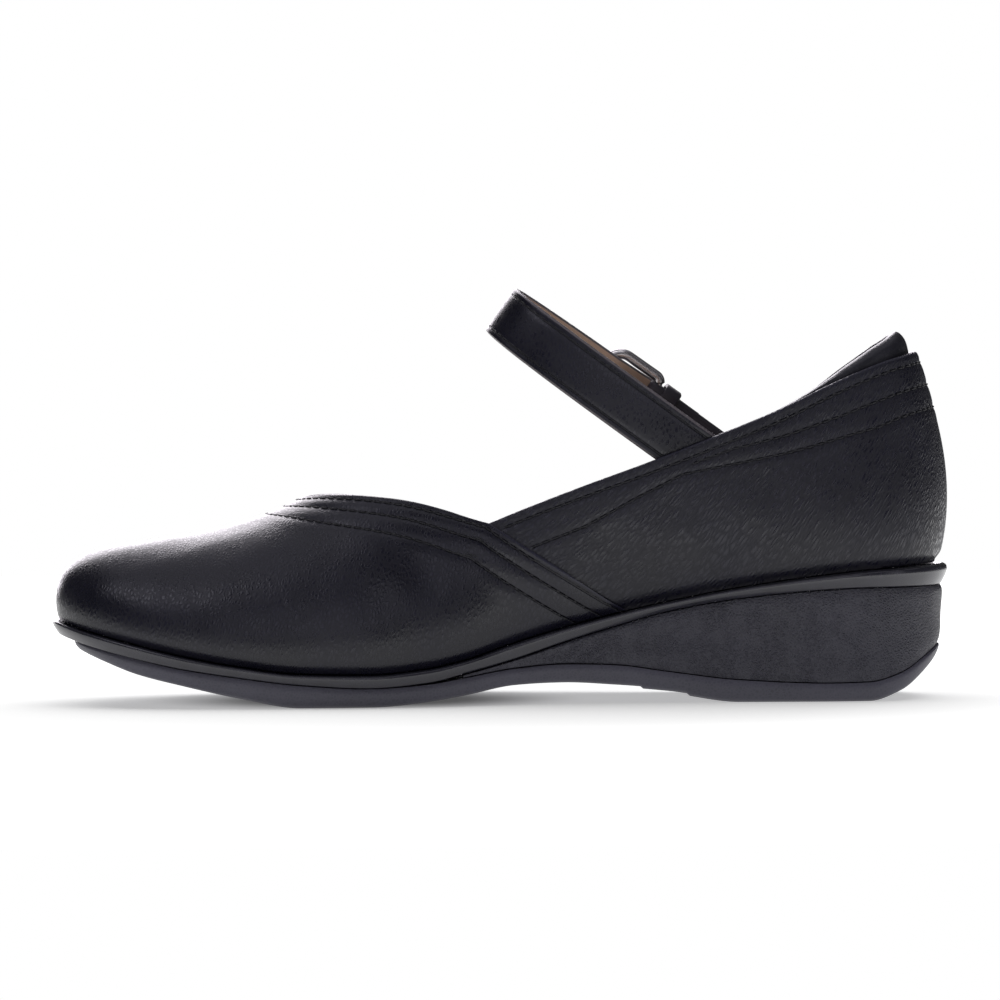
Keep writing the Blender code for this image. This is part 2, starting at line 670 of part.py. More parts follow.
def build_keeper():
    """Leather loop round the tab and the strap's end."""
    low = min(lift for along, lift in TAB_INSIDE if along > 0.0) - TAB_THICK / 2 - CLEARANCE
    high = max(lift for along, lift in STRAP_TAIL) + STRAP_THICK / 2 + CLEARANCE
    middle = (low + high) / 2
    half_height = (high - low) / 2
    half_width = STRAP_END_WIDTH / 2 + CLEARANCE
    bm = bmesh.new()
    rings = []
    for along in (KEEPER_AT - KEEPER_LENGTH / 2, KEEPER_AT + KEEPER_LENGTH / 2):
        for wall in (0.0, KEEPER_WALL):
            corner = KEEPER_CORNER + wall
            outline = rounded_frame(half_height + wall, half_width + wall, corner, corner)
            rings.append([bm.verts.new(strap_point(*leg_place(along, middle + lift), over))
                          for lift, over in outline])
    near_inner, near_outer, far_inner, far_outer = rings
    skin(bm, [near_inner, near_outer, far_outer, far_inner, near_inner], closed=True)
    return add_piece("keeper", bm, "black_leather")


def main():
    clear_scene()
    build_sole()
    build_upper()
    build_collar_pad()
    build_strap()
    build_buckle_tab()
    build_buckle()
    build_keeper()


main()
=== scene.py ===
"""Looks of a right mary jane shoe on a low wedge sole, laid out as a Blender add-on.

Sizes are in millimetres with x counted from the toe tip, and placed() turns them into the
frame's metres. The toe points along -X, the medial side faces -Y and +Z is up.
"""
import math

import bmesh
import bpy
import numpy as np
from bpy.props import FloatProperty, FloatVectorProperty, PointerProperty
from mathutils import Matrix, Vector, noise
from mathutils.bvhtree import BVHTree
from mathutils.kdtree import KDTree


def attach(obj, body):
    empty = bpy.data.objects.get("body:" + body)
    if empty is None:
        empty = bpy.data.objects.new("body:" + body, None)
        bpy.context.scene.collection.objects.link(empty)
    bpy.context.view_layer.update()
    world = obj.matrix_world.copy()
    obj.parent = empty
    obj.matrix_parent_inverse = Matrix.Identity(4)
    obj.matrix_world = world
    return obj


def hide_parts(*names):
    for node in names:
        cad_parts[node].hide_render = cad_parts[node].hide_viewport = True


bl_info = {
    "name": "Mary Jane Shoe",
    "version": (1, 0, 0),
    "blender": (4, 5, 0),
    "location": "View3D > Sidebar > Shoe",
    "description": "Builds the leather, stitching, sole, buckle and stage of a mary jane shoe",
    "category": "Add Mesh",
}

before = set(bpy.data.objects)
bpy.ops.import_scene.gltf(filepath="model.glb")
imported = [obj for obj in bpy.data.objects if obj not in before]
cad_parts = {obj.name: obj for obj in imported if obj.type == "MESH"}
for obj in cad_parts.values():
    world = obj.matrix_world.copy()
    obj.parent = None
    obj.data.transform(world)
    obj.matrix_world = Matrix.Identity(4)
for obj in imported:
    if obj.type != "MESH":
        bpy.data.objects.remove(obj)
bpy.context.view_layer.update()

MM = 0.001
MEDIAL = -1
LATERAL = 1
HEEL_TREAD_X = 214.0
WALL = 2.0
VAMP_LAP = 0.9
CLEARANCE = 0.35
INSOLE_THICK = 2.6

# One row for each rib of the upper, from the vamp's ridge to the back of the heel
LAST_COLUMNS = (
    "foot_x", "foot_medial", "foot_lateral", "top_x", "top_medial", "top_lateral", "top_z",
    "drop", "flare", "foot_reach", "dip", "top_reach",
)
LAST_ROWS = (
    (2.5, -7.0, -7.0, 71.4, -2.5, -2.5, 57.4, 0.0, 10, 31.0, 29, 40.5),
    (4.2, -16.8, 2.6, 72.2, -6.5, 1.5, 57.7, 0.3, 11, 29.0, 29, 40.0),
    (11.5, -26.4, 14.4, 74.2, -11.0, 6.5, 58.3, 0.7, 13, 23.0, 32, 36.0),
    (24.0, -34.0, 25.0, 77.5, -15.2, 11.2, 58.8, 1.2, 15, 17.0, 36, 31.0),
    (40.0, -38.8, 33.6, 82.0, -18.8, 15.8, 59.0, 1.7, 17, 15.5, 40, 27.5),
    (58.0, -41.5, 40.0, 87.0, -21.6, 19.6, 59.0, 2.2, 18, 15.5, 45, 24.0),
    (76.0, -42.0, 43.8, 93.0, -24.1, 23.0, 58.6, 2.6, 19, 16.0, 50, 21.0),
    (94.0, -40.3, 44.6, 99.5, -25.9, 25.6, 57.9, 3.0, 19, 16.0, 56, 18.0),
    (112.0, -35.6, 42.0, 106.0, -27.3, 27.8, 56.7, 3.4, 20, 15.5, 61, 15.5),
    (130.0, -30.3, 38.6, 112.5, -28.5, 29.8, 55.0, 3.7, 20, 15.0, 66, 14.0),
    (147.5, -26.8, 35.2, 118.5, -29.4, 31.4, 53.1, 4.0, 20, 14.5, 71, 14.0),
    (163.7, -25.2, 32.5, 124.6, -30.0, 32.6, 51.3, 4.2, 20, 15.0, 74, 15.0),
    (174.0, -25.0, 31.1, 137.0, -30.6, 33.4, 56.2, 4.4, 19, 15.0, 77, 14.5),
    (186.0, -25.5, 30.2, 153.0, -30.4, 33.2, 62.1, 4.4, 18, 15.5, 79, 15.0),
    (199.0, -26.2, 29.6, 171.0, -29.3, 31.8, 68.4, 4.2, 17, 16.5, 80, 16.0),
    (212.0, -26.8, 29.2, 189.0, -27.2, 29.4, 75.2, 3.8, 16, 17.5, 80, 17.0),
    (225.5, -26.7, 28.4, 207.0, -24.4, 26.0, 82.3, 3.0, 16, 18.5, 80, 18.0),
    (237.2, -24.4, 25.6, 223.0, -21.0, 22.0, 89.8, 2.0, 16, 20.0, 79, 19.5),
    (245.6, -18.8, 19.4, 236.4, -16.2, 16.6, 95.2, 1.0, 16, 21.0, 77, 20.5),
    (251.0, -10.4, 10.6, 244.6, -9.2, 9.4, 97.4, 0.3, 16, 21.5, 74, 21.5),
    (253.0, 0.0, 0.0, 247.5, 0.0, 0.0, 97.9, 0.0, 16, 21.7, 72, 21.7),
)
SEAM_ROW = 11
LAST_ROW = len(LAST_ROWS) - 1
SLANT_START_ROW = 5.0
SLANT_END_ROW = 10.0

# Heights of the sole's layers along the shoe
SOLE_COLUMNS = ("x", "feather", "rim_low", "groove", "tread")
SOLE_ROWS = (
    (0.0, 25.0, 20.9, 20.9, 18.8),
    (8.0, 22.4, 18.3, 18.3, 15.4),
    (15.0, 20.5, 16.4, 16.4, 12.7),
    (24.0, 18.2, 14.2, 14.2, 9.5),
    (37.0, 15.1, 11.4, 11.4, 6.4),
    (53.0, 12.2, 9.0, 9.0, 2.9),
    (71.0, 10.0, 6.8, 6.8, 0.0),
    (91.0, 9.6, 5.7, 5.7, 0.0),
    (107.0, 11.0, 6.9, 6.6, 1.0),
    (118.0, 13.3, 9.4, 8.3, 2.3),
    (132.0, 17.9, 13.2, 10.6, 4.4),
    (146.0, 22.0, 17.8, 11.6, 4.8),
    (160.0, 25.6, 22.0, 11.2, 4.0),
    (176.0, 29.2, 26.3, 9.1, 2.6),
    (196.0, 33.0, 29.8, 6.7, 0.0),
    (222.0, 36.6, 32.2, 5.6, 0.0),
    (233.0, 37.7, 32.6, 5.8, 0.0),
    (242.0, 38.2, 32.6, 8.2, 2.8),
    (249.0, 38.5, 32.5, 12.7, 8.2),
    (256.0, 38.6, 32.4, 18.4, 15.8),
)
WEDGE_FRONT_X = 117.0
TREAD_STEPS_X = (168.0, 181.0)
TREAD_STEP = 0.6
WAIST_START_X = 95.0
WAIST_RISE_LENGTH = 45.0
TOE_SET_BACK = 4.0
TOE_SET_BACK_LENGTH = 40.0

# Edge profiles of the sole's layers, bottom to top: reach past the feather edge, share of height
OUTSOLE_EDGE = ((-2.8, 0.0), (-0.9, 0.16), (-0.1, 0.45), (0.1, 0.8), (-0.3, 1.0))
WEDGE_EDGE = ((-0.3, 0.0), (0.2, 0.06), (0.7, 0.5), (1.0, 0.94), (0.5, 1.0))
RIM_EDGE = ((0.8, 0.0), (1.4, 0.18), (2.1, 0.42), (2.5, 0.64), (2.4, 0.86), (1.0, 1.0))
INSOLE_EDGE = ((-3.1, 0.0), (-2.6, 0.5), (-3.0, 1.0))

# Rows of stitches on the vamp: distance in from its edge
VAMP_ROWS = (1.3, 5.4, 11.0)
# Rows of stitches on the quarter: x of the topline, distance below it
QUARTER_ROWS = (
    ((128.0, 2.4), (250.0, 2.4)),
    ((181.0, 4.2), (193.0, 4.6), (207.0, 6.8), (222.0, 8.8), (235.0, 9.2), (250.0, 9.0)),
    ((133.0, 10.6), (149.0, 10.4), (165.0, 7.6), (178.0, 6.0), (201.0, 10.6), (218.0, 14.2),
     (229.0, 16.0), (250.0, 15.6)),
)
ROW_HALF_WIDTH = 0.9
ROW_END_HEIGHT = 1.6
# A vertex holds its gap to a row plus this flag, so a mesh without rows reads as far from them
ROW_FLAG = 50.0
ROW_NAMES = ("row_1", "row_2", "row_3")
# Soft creases of the upper: side, start x and z, end x and z, half width, depth
CREASE_RIDGE_AT = 1.7
CREASE_RIDGE = 0.5
CREASES = (
    (MEDIAL, 98.0, 45.0, 112.0, 30.0, 5.0, 0.30),
    (MEDIAL, 84.0, 42.0, 97.0, 24.0, 6.0, 0.22),
    (MEDIAL, 150.0, 52.0, 170.0, 41.0, 4.0, 0.22),
    (MEDIAL, 168.0, 60.0, 190.0, 50.0, 4.5, 0.25),
    (MEDIAL, 196.0, 66.0, 214.0, 56.0, 5.0, 0.22),
    (MEDIAL, 226.0, 70.0, 236.0, 46.0, 6.0, 0.25),
    (LATERAL, 92.0, 44.0, 108.0, 26.0, 6.0, 0.28),
    (LATERAL, 104.0, 42.0, 120.0, 28.0, 5.0, 0.24),
    (LATERAL, 156.0, 52.0, 178.0, 42.0, 4.5, 0.24),
    (LATERAL, 190.0, 62.0, 210.0, 52.0, 5.0, 0.22),
)

# Collar pad, one row for each corner of its section
PAD_FIRST_ROW = 16
PAD_DEPTH = 16.0
PAD_RISE_BACK = 6.6
PAD_RISE_FRONT = 0.6
PAD_GAP = 0.5
PAD_FILL_FRONT = 0.3
PAD_TAPER_ROWS = 2.0
PAD_COLUMNS = 70
PAD_STEPS = 44
# Soft folds of the pad: how close they lie, height
PAD_FOLDS = ((0.11, 0.22), (0.35, 0.08))
PAD_SECTION = (
    ("below", 1.0, 0.0), ("below", 0.55, 0.0), ("below", 0.1, 0.0), ("above", 0.55, -0.3),
    ("above", 0.92, 0.6), ("above", 1.0, 2.2), ("above", 0.75, 3.9), ("below", 0.1, 4.9),
    ("below", 0.55, 4.1), ("below", 1.0, 1.3),
)

# Strap loop, buckle, tab and keeper
STRAP_BASE_X = 182.0
STRAP_BASE_Z = 72.0
STRAP_RISE = math.radians(36.0)
STRAP_ROLL = 0.0233
STRAP_WIDTH = 15.5
STRAP_END_WIDTH = 14.0
STRAP_THICK = 2.2
STRAP_REACH = 65.6
STRAP_MEDIAL = 24.6
STRAP_LATERAL = 26.4
STRAP_ROUNDNESS = 2.3
STRAP_TUCK = 12.0
STRAP_TUCK_LEAN = 0.12
STRAP_TAIL = (
    (38.0, 0.0), (34.0, -0.3), (29.6, -0.3), (27.6, 0.5), (19.4, 5.3), (16.4, 6.7), (13.6, 6.8),
    (10.6, 6.3), (7.0, 5.7), (3.0, 5.2),
)
BUCKLE_AT = 23.9
BUCKLE_LENGTH = 19.0
BUCKLE_WIDTH = 20.4
BUCKLE_WIRE = 1.2
BUCKLE_BAND = 1.5
BUCKLE_LIFT = 2.45
BUCKLE_FRONT_CORNER = 4.6
BUCKLE_BAR_CORNER = 2.2
BAR_RADIUS = 0.9
PRONG_RADIUS = 0.75
PRONG_BOW = 0.9
TAB_THICK = 1.3
TAB_INSIDE = ((-14.0, 0.0), (-4.0, 0.3), (4.0, 0.5), (10.4, 0.55))
TAB_OUTSIDE = ((10.2, 3.6), (6.0, 2.7), (2.0, 2.3))
KEEPER_AT = 11.5
KEEPER_LENGTH = 5.0
KEEPER_WALL = 1.1
KEEPER_CORNER = 1.0


def colour_setting(name, description, default):
    """Colour that a user can change."""
    return FloatVectorProperty(name=name, description=description, subtype="COLOR", size=3, min=0.0,
                               max=1.0, default=default)


def factor_setting(name, description, default):
    """Share from 0 to 1 that a user can change."""
    return FloatProperty(name=name, description=description, subtype="FACTOR", min=0.0, max=1.0,
                         default=default)


def length_setting(name, description, default):
    """Length in metres that a user can change."""
    return FloatProperty(name=name, description=description, unit="LENGTH", default=default)


def angle_setting(name, description, degrees):
    """Angle that a user can change."""
    return FloatProperty(name=name, description=description, subtype="ANGLE", default=math.radians(degrees))


def power_setting(name, description, default):
    """Power of a light that a user can change."""
    return FloatProperty(name=name, description=description, unit="POWER", default=default)


class LeatherSettings(bpy.types.PropertyGroup):
    """Leather of the upper and the strap."""
    colour: colour_setting("Colour", "Dyed face of the leather", (0.0083, 0.0080, 0.0170))
    roughness: factor_setting("Roughness", "Roughness of the finished grain", 0.25)
    pebble: length_setting("Pebble", "Width of one pebble of the grain", 0.0011)
    lining: colour_setting("Lining", "Lining inside the upper", (0.0125, 0.0125, 0.0185))
    strap_lining: colour_setting("Strap lining", "Inner face of the strap", (0.48, 0.33, 0.24))


class StitchSettings(bpy.types.PropertyGroup):
    """Rows of stitches and the troughs they pull."""
    length: length_setting("Stitch", "Length of one stitch", 0.0026)
    pitch: length_setting("Pitch", "Distance from stitch to stitch", 0.0030)
    thread: length_setting("Thread", "Half width of the thread", 0.00026)
    trough: length_setting("Trough", "Depth that a row is pulled in", 0.00018)
    puff: length_setting("Puff", "How far the leather stands out between rows", 0.00016)
    colour: colour_setting("Colour", "Thread", (0.005, 0.005, 0.008))


class SoleSettings(bpy.types.PropertyGroup):
    """Rubber of the sole."""
    rim: colour_setting("Rim", "Smooth lip under the upper", (0.0160, 0.0155, 0.0230))
    wedge: colour_setting("Wedge", "Textured side of the wedge", (0.0330, 0.0322, 0.0440))
    outsole: colour_setting("Outsole", "Bottom layer", (0.0600, 0.0585, 0.0780))
    sock: colour_setting("Sock", "Sock on the insole", (0.022, 0.021, 0.023))
    tread_depth: length_setting("Tread", "Depth of the tread's grooves", 0.0009)


class BuckleSettings(bpy.types.PropertyGroup):
    """Dark metal of the buckle."""
    colour: colour_setting("Colour", "Plated metal", (0.45, 0.43, 0.44))
    roughness: factor_setting("Roughness", "Roughness of the plating", 0.24)


class StageSettings(bpy.types.PropertyGroup):
    """Floor, lights and camera."""
    floor: colour_setting("Floor", "Pale floor and backdrop", (0.88, 0.88, 0.88))
    elevation: angle_setting("Elevation", "Camera height above the level", 3.0)
    roll: angle_setting("Roll", "Turn of the picture", -0.4)
    width: length_setting("Width", "Width of the picture at the shoe", 0.2857)
    floor_light: power_setting("Floor light", "Power of the light on the floor alone", 62.0)
    top_light: power_setting("Top light", "Power of the overhead light", 3.0)
    back_light: power_setting("Back light", "Power of the wall of light behind the shoe", 26.0)
    front_light: power_setting("Front light", "Power of the light behind the camera", 2.2)
    toe_light: power_setting("Toe light", "Power of the light at the toe", 1.2)
    heel_light: power_setting("Heel light", "Power of the light at the heel", 0.5)
    buckle_light: power_setting("Buckle light", "Power of the light for the metal alone", 2.4)


class ShoeSettings(bpy.types.PropertyGroup):
    """All that a user would change."""
    leather: PointerProperty(type=LeatherSettings)
    stitch: PointerProperty(type=StitchSettings)
    sole: PointerProperty(type=SoleSettings)
    buckle: PointerProperty(type=BuckleSettings)
    stage: PointerProperty(type=StageSettings)


# Curves of the last and the sole

def placed(points):
    """Frame coordinates in metres of points given in millimetres from the toe tip."""
    return (np.asarray(points, float) - (HEEL_TREAD_X, 0.0, 0.0)) * MM


def ease(value):
    """Smooth step from 0 to 1."""
    value = np.clip(value, 0.0, 1.0)
    return value * value * (3.0 - 2.0 * value)


def unit(vectors):
    """Vectors at length 1."""
    return vectors / np.maximum(np.linalg.norm(vectors, axis=-1, keepdims=True), 1e-9)


def hermite(start, end, start_slope, end_slope, share):
    """Cubic between two values with the given end slopes."""
    square = share * share
    cube = square * share
    rise = 3.0 * square - 2.0 * cube
    return (start + (end - start) * rise + start_slope * (cube - 2.0 * square + share)
            + end_slope * (cube - square))


def last_value(column, places, corners=(), flat=()):
    """Smooth value of a column of the last at fractional rows, with turns at corners."""
    values = np.array([row[LAST_COLUMNS.index(column)] for row in LAST_ROWS], float)
    index = np.clip(np.floor(places + 1e-9).astype(int), 0, LAST_ROW - 1)
    step = values[index + 1] - values[index]
    around = np.concatenate((values[:1], values, values[-1:]))
    middle = 0.5 * (around[2:] - around[:-2])

    def slope(row):
        turned = np.where(np.isin(row, (0, LAST_ROW, *corners)), step, middle[row])
        return np.where(np.isin(row, list(flat)), 0.0, turned)

    return hermite(values[index], values[index + 1], slope(index), slope(index + 1), places - index)


def sole_height(column, x):
    """Height of one of the sole's layers at x, on a curve without overshoot."""
    xs = np.array([row[0] for row in SOLE_ROWS])
    ys = np.array([row[SOLE_COLUMNS.index(column)] for row in SOLE_ROWS])
    steps = np.diff(xs)
    slopes = np.diff(ys) / steps
    left = slopes[:-1]
    right = slopes[1:]
    same_way = left * right > 0.0
    total = np.where(same_way, left + right, 1.0)
    inner = np.where(same_way, 2.0 * left * right / total, 0.0)
    tangents = np.concatenate(([slopes[0]], inner, [slopes[-1]]))
    x = np.clip(x, xs[0], xs[-1])
    index = np.clip(np.searchsorted(xs, x, side="right") - 1, 0, len(xs) - 2)
    share = (x - xs[index]) / steps[index]
    return hermite(ys[index], ys[index + 1], tangents[index] * steps[index],
                   tangents[index + 1] * steps[index], share)


def foot_line(places, side):
    """Feather edge, where the upper meets the sole."""
    x = last_value("foot_x", places, flat=(0, LAST_ROW))
    y = last_value("foot_medial" if side == MEDIAL else "foot_lateral", places)
    return np.stack((x, y, sole_height("feather", x)), axis=-1)


def top_line(places, side):
    """Throat edge of the vamp, and the topline of the quarter behind it."""
    corners = (SEAM_ROW,)
    ends = (0, LAST_ROW)
    x = last_value("top_x", places, corners, ends)
    y = last_value("top_medial" if side == MEDIAL else "top_lateral", places, corners)
    z = last_value("top_z", places, corners, ends)
    if side == LATERAL:
        z = z - last_value("drop", places, corners)
    return np.stack((x, y, z), axis=-1)


def outward(places, side, line=foot_line):
    """Level direction out of the shoe, square to an edge of the upper."""
    step = 0.02
    before = line(np.maximum(places - step, 0.0), side)
    after = line(np.minimum(places + step, LAST_ROW), side)
    run = after - before
    return unit(np.stack((-run[:, 1] * side, run[:, 0] * side, np.zeros(len(run))), axis=-1))


def dots(first, second):
    """Dot products of two lists of vectors, as a column."""
    return np.sum(first * second, axis=-1, keepdims=True)


def rib_controls(places, side):
    """Four control points of each rib that runs from the feather edge to the top edge."""
    foot = foot_line(places, side)
    top = top_line(places, side)
    chord = foot - top
    level = unit(chord * (1.0, 1.0, 0.0))
    slant = ease((places - SLANT_START_ROW) / (SLANT_END_ROW - SLANT_START_ROW))[:, None]
    upright = np.array((0.0, 0.0, 1.0))
    out_foot = outward(places, side)
    out_top = unit(outward(places, side, top_line) + level * (1.0 - slant))
    along_foot = unit(out_foot * dots(chord, out_foot) - chord)
    along_top = unit(out_top * dots(chord, out_top) - chord)
    up_foot = unit(upright * (1.0 - slant) + along_foot * slant)
    up_top = unit(upright * (1.0 - slant) + along_top * slant)
    flare = np.radians(last_value("flare", places))[:, None]
    dip = np.radians(last_value("dip", places))[:, None]
    foot_pull = up_foot * np.cos(flare) + out_foot * np.sin(flare)
    top_pull = out_top * np.cos(dip) - up_top * np.sin(dip)
    foot_handle = foot + foot_pull * last_value("foot_reach", places)[:, None]
    top_handle = top + top_pull * last_value("top_reach", places)[:, None]
    return foot, foot_handle, top_handle, top


def rib_points(controls, shares):
    """Points on ribs, from 0 at the sole to 1 at the top, as columns by shares by xyz."""
    foot, foot_handle, top_handle, top = (part[:, None, :] for part in controls)
    share = np.asarray(shares, float)[None, :, None]
    rest = 1.0 - share
    return (foot * rest ** 3 + foot_handle * (3.0 * rest * rest * share)
            + top_handle * (3.0 * rest * share * share) + top * share ** 3)


def ring_points(places, shares):
    """Closed ring of ribs, the medial side first and then the lateral one back to the start."""
    medial = rib_points(rib_controls(places, MEDIAL), shares)
    lateral = rib_points(rib_controls(places, LATERAL), shares)
    return np.concatenate((medial, lateral[-2::-1]))


def grid_normals(points):
    """Normals of a ring grid whose first and last columns coincide, pointing away from the shoe."""
    around = np.concatenate((points[-2:-1], points, points[1:2]))
    along = around[2:] - around[:-2]
    up = np.gradient(points, axis=1)
    normals = unit(np.cross(along, up))
    heel = len(points) // 2
    return normals * math.copysign(1.0, normals[heel, points.shape[1] // 2, 0])


def place_at(x):
    """Fractional row at which the feather edge reaches x."""
    places = np.linspace(0.0, LAST_ROW, 2000)
    return float(np.interp(x, foot_line(places, MEDIAL)[:, 0], places))


# Mesh helpers

def bend_grid(bm, points):
    """Grid of the operator's own, bent to points given as columns by rows by xyz."""
    columns, rows = points.shape[:2]
    made = bmesh.ops.create_grid(bm, x_segments=columns - 1, y_segments=rows - 1, size=1.0)
    target = placed(points)
    spots = {}
    for vert in made["verts"]:
        column = round((vert.co.x + 1.0) / 2.0 * (columns - 1))
        row = round((vert.co.y + 1.0) / 2.0 * (rows - 1))
        spots[vert] = (column, row)
        vert.co = target[column, row]
    return spots


def weld(bm, distance=0.000002):
    """Close the seams of bent grids, drop faces that collapsed and turn the rest outwards."""
    bmesh.ops.remove_doubles(bm, verts=bm.verts, dist=distance)
    bmesh.ops.dissolve_degenerate(bm, edges=bm.edges, dist=distance)
    bmesh.ops.recalc_face_normals(bm, faces=bm.faces)


def close_ends(bm):
    """Fill the open ends of a swept piece and turn all its faces outwards."""
    rim = [edge for edge in bm.edges if edge.is_boundary]
    bmesh.ops.holes_fill(bm, edges=rim, sides=0)
    bmesh.ops.recalc_face_normals(bm, faces=bm.faces)


def point_tree(points):
    """Search tree of points, numbered in their order."""
    tree = KDTree(len(points))
    for index, point in enumerate(points):
        tree.insert(point, index)
    tree.balance()
    return tree


def add_piece(name, bm, material, node=None, sharp=60.0):
    """Turn a bmesh into a smooth piece that rides on the shoe and may stand for a CAD node."""
    mesh = bpy.data.meshes.new(name)
    bm.to_mesh(mesh)
    bm.free()
    mesh.materials.append(material)
    mesh.shade_smooth()
    mesh.set_sharp_from_angle(angle=math.radians(sharp))
    piece = bpy.data.objects.new(name, mesh)
    bpy.context.scene.collection.objects.link(piece)
    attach(piece, "root")
    if node:
        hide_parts(node)
    return piece


def smooth_profile(profile, steps):
    """Points of a rounded curve through an open profile given as rows of numbers."""
    knots = np.asarray(profile, float)
    lengths = np.concatenate(([0.0], np.cumsum(np.linalg.norm(np.diff(knots, axis=0), axis=1))))
    at = np.linspace(0.0, lengths[-1], steps)
    slopes = np.gradient(knots, lengths, axis=0)
    index = np.clip(np.searchsorted(lengths, at, side="right") - 1, 0, len(knots) - 2)
    reach = (lengths[index + 1] - lengths[index])[:, None]
    share = ((at - lengths[index])[:, None]) / reach
    return hermite(knots[index], knots[index + 1], slopes[index] * reach, slopes[index + 1] * reach, share)


def walk(points, pitch, start=0.0):
    """Points and directions at an even pitch along a polyline."""
    points = np.asarray(points, float)
    steps = np.linalg.norm(np.diff(points, axis=0), axis=1)
    lengths = np.concatenate(([0.0], np.cumsum(steps)))
    at = np.arange(start, lengths[-1] - start, pitch)

    def along(places):
        return np.stack([np.interp(places, lengths, points[:, axis]) for axis in range(3)], axis=-1)

    spots = along(at)
    return spots, unit(along(at + 0.2 * pitch) - along(at - 0.2 * pitch))


# Finishes

def add_node(tree, kind, inputs=(), **settings):
    """Add a shader node, set its properties, and set or link its inputs."""
    node = tree.nodes.new(kind)
    for name, value in settings.items():
        setattr(node, name, value)
    for key, value in dict(inputs).items():
        if isinstance(value, bpy.types.NodeSocket):
            tree.links.new(value, node.inputs[key])
        else:
            node.inputs[key].default_value = value
    return node


def maths(tree, operation, first, second=0.0):
    """Result of a Math node on two values or sockets."""
    return add_node(tree, "ShaderNodeMath", {0: first, 1: second}, operation=operation).outputs[0]


def mix_values(tree, share, first, second):
    """Blend of two values by a share."""
    made = add_node(tree, "ShaderNodeMix", {"Factor": share, 2: first, 3: second}, data_type="FLOAT")
    return made.outputs[0]


def mix_colours(tree, share, first, second):
    """Blend of two colours by a share."""
    made = add_node(tree, "ShaderNodeMix", {"Factor": share, 6: first, 7: second}, data_type="RGBA")
    return made.outputs[2]


def span(tree, value, low, high, new_low=0.0, new_high=1.0):
    """A value eased from one range into another."""
    made = add_node(tree, "ShaderNodeMapRange", {0: value, 1: low, 2: high, 3: new_low, 4: new_high},
                    interpolation_type="SMOOTHSTEP")
    return made.outputs[0]


def attribute(tree, name):
    """Value that the mesh holds at each vertex."""
    return add_node(tree, "ShaderNodeAttribute", attribute_name=name).outputs["Fac"]


def colour(values, share=1.0):
    """Colour with full alpha, scaled by a share."""
    return (*(value * share for value in values), 1.0)


def new_material(name, **values):
    """Material with its Principled shader's plain values set, and its tree and shader."""
    material = bpy.data.materials.new(name)
    material.use_nodes = True
    tree = material.node_tree
    shader = tree.nodes["Principled BSDF"]
    for key, value in values.items():
        label = key.replace("_", " ").title().replace("Ior", "IOR")
        shader.inputs[label].default_value = value
    return material, tree, shader


def new_group(name, inputs, outputs):
    """Shader node group with named sockets, and the sockets inside it."""
    group = bpy.data.node_groups.new(name, "ShaderNodeTree")
    for label, kind in inputs:
        group.interface.new_socket(label, in_out="INPUT", socket_type=kind)
    for label, kind in outputs:
        group.interface.new_socket(label, in_out="OUTPUT", socket_type=kind)
    entry = group.nodes.new("NodeGroupInput")
    leave = group.nodes.new("NodeGroupOutput")
    return group, entry.outputs, leave.inputs


# Grain, with its lengths counted in pebbles
GRAIN_DRIFT_SCALE = 0.55
GRAIN_DRIFT = 0.4
PEBBLE_SLOPE = 0.34
WRINKLE_SCALE = 2.3
WRINKLE_SLOPE = 0.30
WRINKLE_SHARE = 0.2
PATCH_SCALE = 0.16
PATCH_LOW = 0.45


def grain_group():
    """Pebbled grain: rounded cells with narrow valleys and finer wrinkles on them."""
    name = "leather_grain"
    if name in bpy.data.node_groups:
        return bpy.data.node_groups[name]
    group, given, result = new_group(
        name, (("Vector", "NodeSocketVector"), ("Cell", "NodeSocketFloat")),
        (("Height", "NodeSocketFloat"), ("Valley", "NodeSocketFloat")))
    count = maths(group, "DIVIDE", 1.0, given["Cell"])
    cells = add_node(group, "ShaderNodeVectorMath", {0: given["Vector"], "Scale": count},
                     operation="SCALE").outputs[0]
    drift = add_node(group, "ShaderNodeTexNoise",
                     {"Vector": cells, "Scale": GRAIN_DRIFT_SCALE, "Detail": 2.0})
    drift = add_node(group, "ShaderNodeVectorMath", {0: drift.outputs["Color"], "Scale": GRAIN_DRIFT},
                     operation="SCALE").outputs[0]
    bent = add_node(group, "ShaderNodeVectorMath", {0: cells, 1: drift}, operation="ADD").outputs[0]
    pebbles = add_node(group, "ShaderNodeTexVoronoi", {"Vector": bent, "Scale": 1.0},
                       feature="DISTANCE_TO_EDGE").outputs["Distance"]
    wrinkles = add_node(group, "ShaderNodeTexVoronoi", {"Vector": bent, "Scale": WRINKLE_SCALE},
                        feature="DISTANCE_TO_EDGE").outputs["Distance"]
    crown = span(group, pebbles, 0.0, PEBBLE_SLOPE)
    fine = span(group, wrinkles, 0.0, WRINKLE_SLOPE)
    strong = span(group, noise_value(group, cells, PATCH_SCALE, 3.0), 0.35, 0.65, PATCH_LOW, 1.0)
    height = maths(group, "ADD", maths(group, "MULTIPLY", crown, 1.0 - WRINKLE_SHARE),
                   maths(group, "MULTIPLY", fine, WRINKLE_SHARE))
    group.links.new(maths(group, "MULTIPLY", height, strong), result["Height"])
    group.links.new(maths(group, "SUBTRACT", 1.0, crown), result["Valley"])
    return group


def grain(tree, vector, cell):
    """Grain group placed in a material."""
    return add_node(tree, "ShaderNodeGroup", {"Vector": vector, "Cell": cell}, node_tree=grain_group())


def object_coordinates(tree, turn=(0.0, 0.0, 0.0), scale=(1.0, 1.0, 1.0)):
    """The piece's own coordinates, turned and stretched."""
    coordinates = add_node(tree, "ShaderNodeTexCoord").outputs["Object"]
    return add_node(tree, "ShaderNodeMapping", {"Vector": coordinates, "Rotation": turn, "Scale": scale},
                    vector_type="TEXTURE").outputs[0]


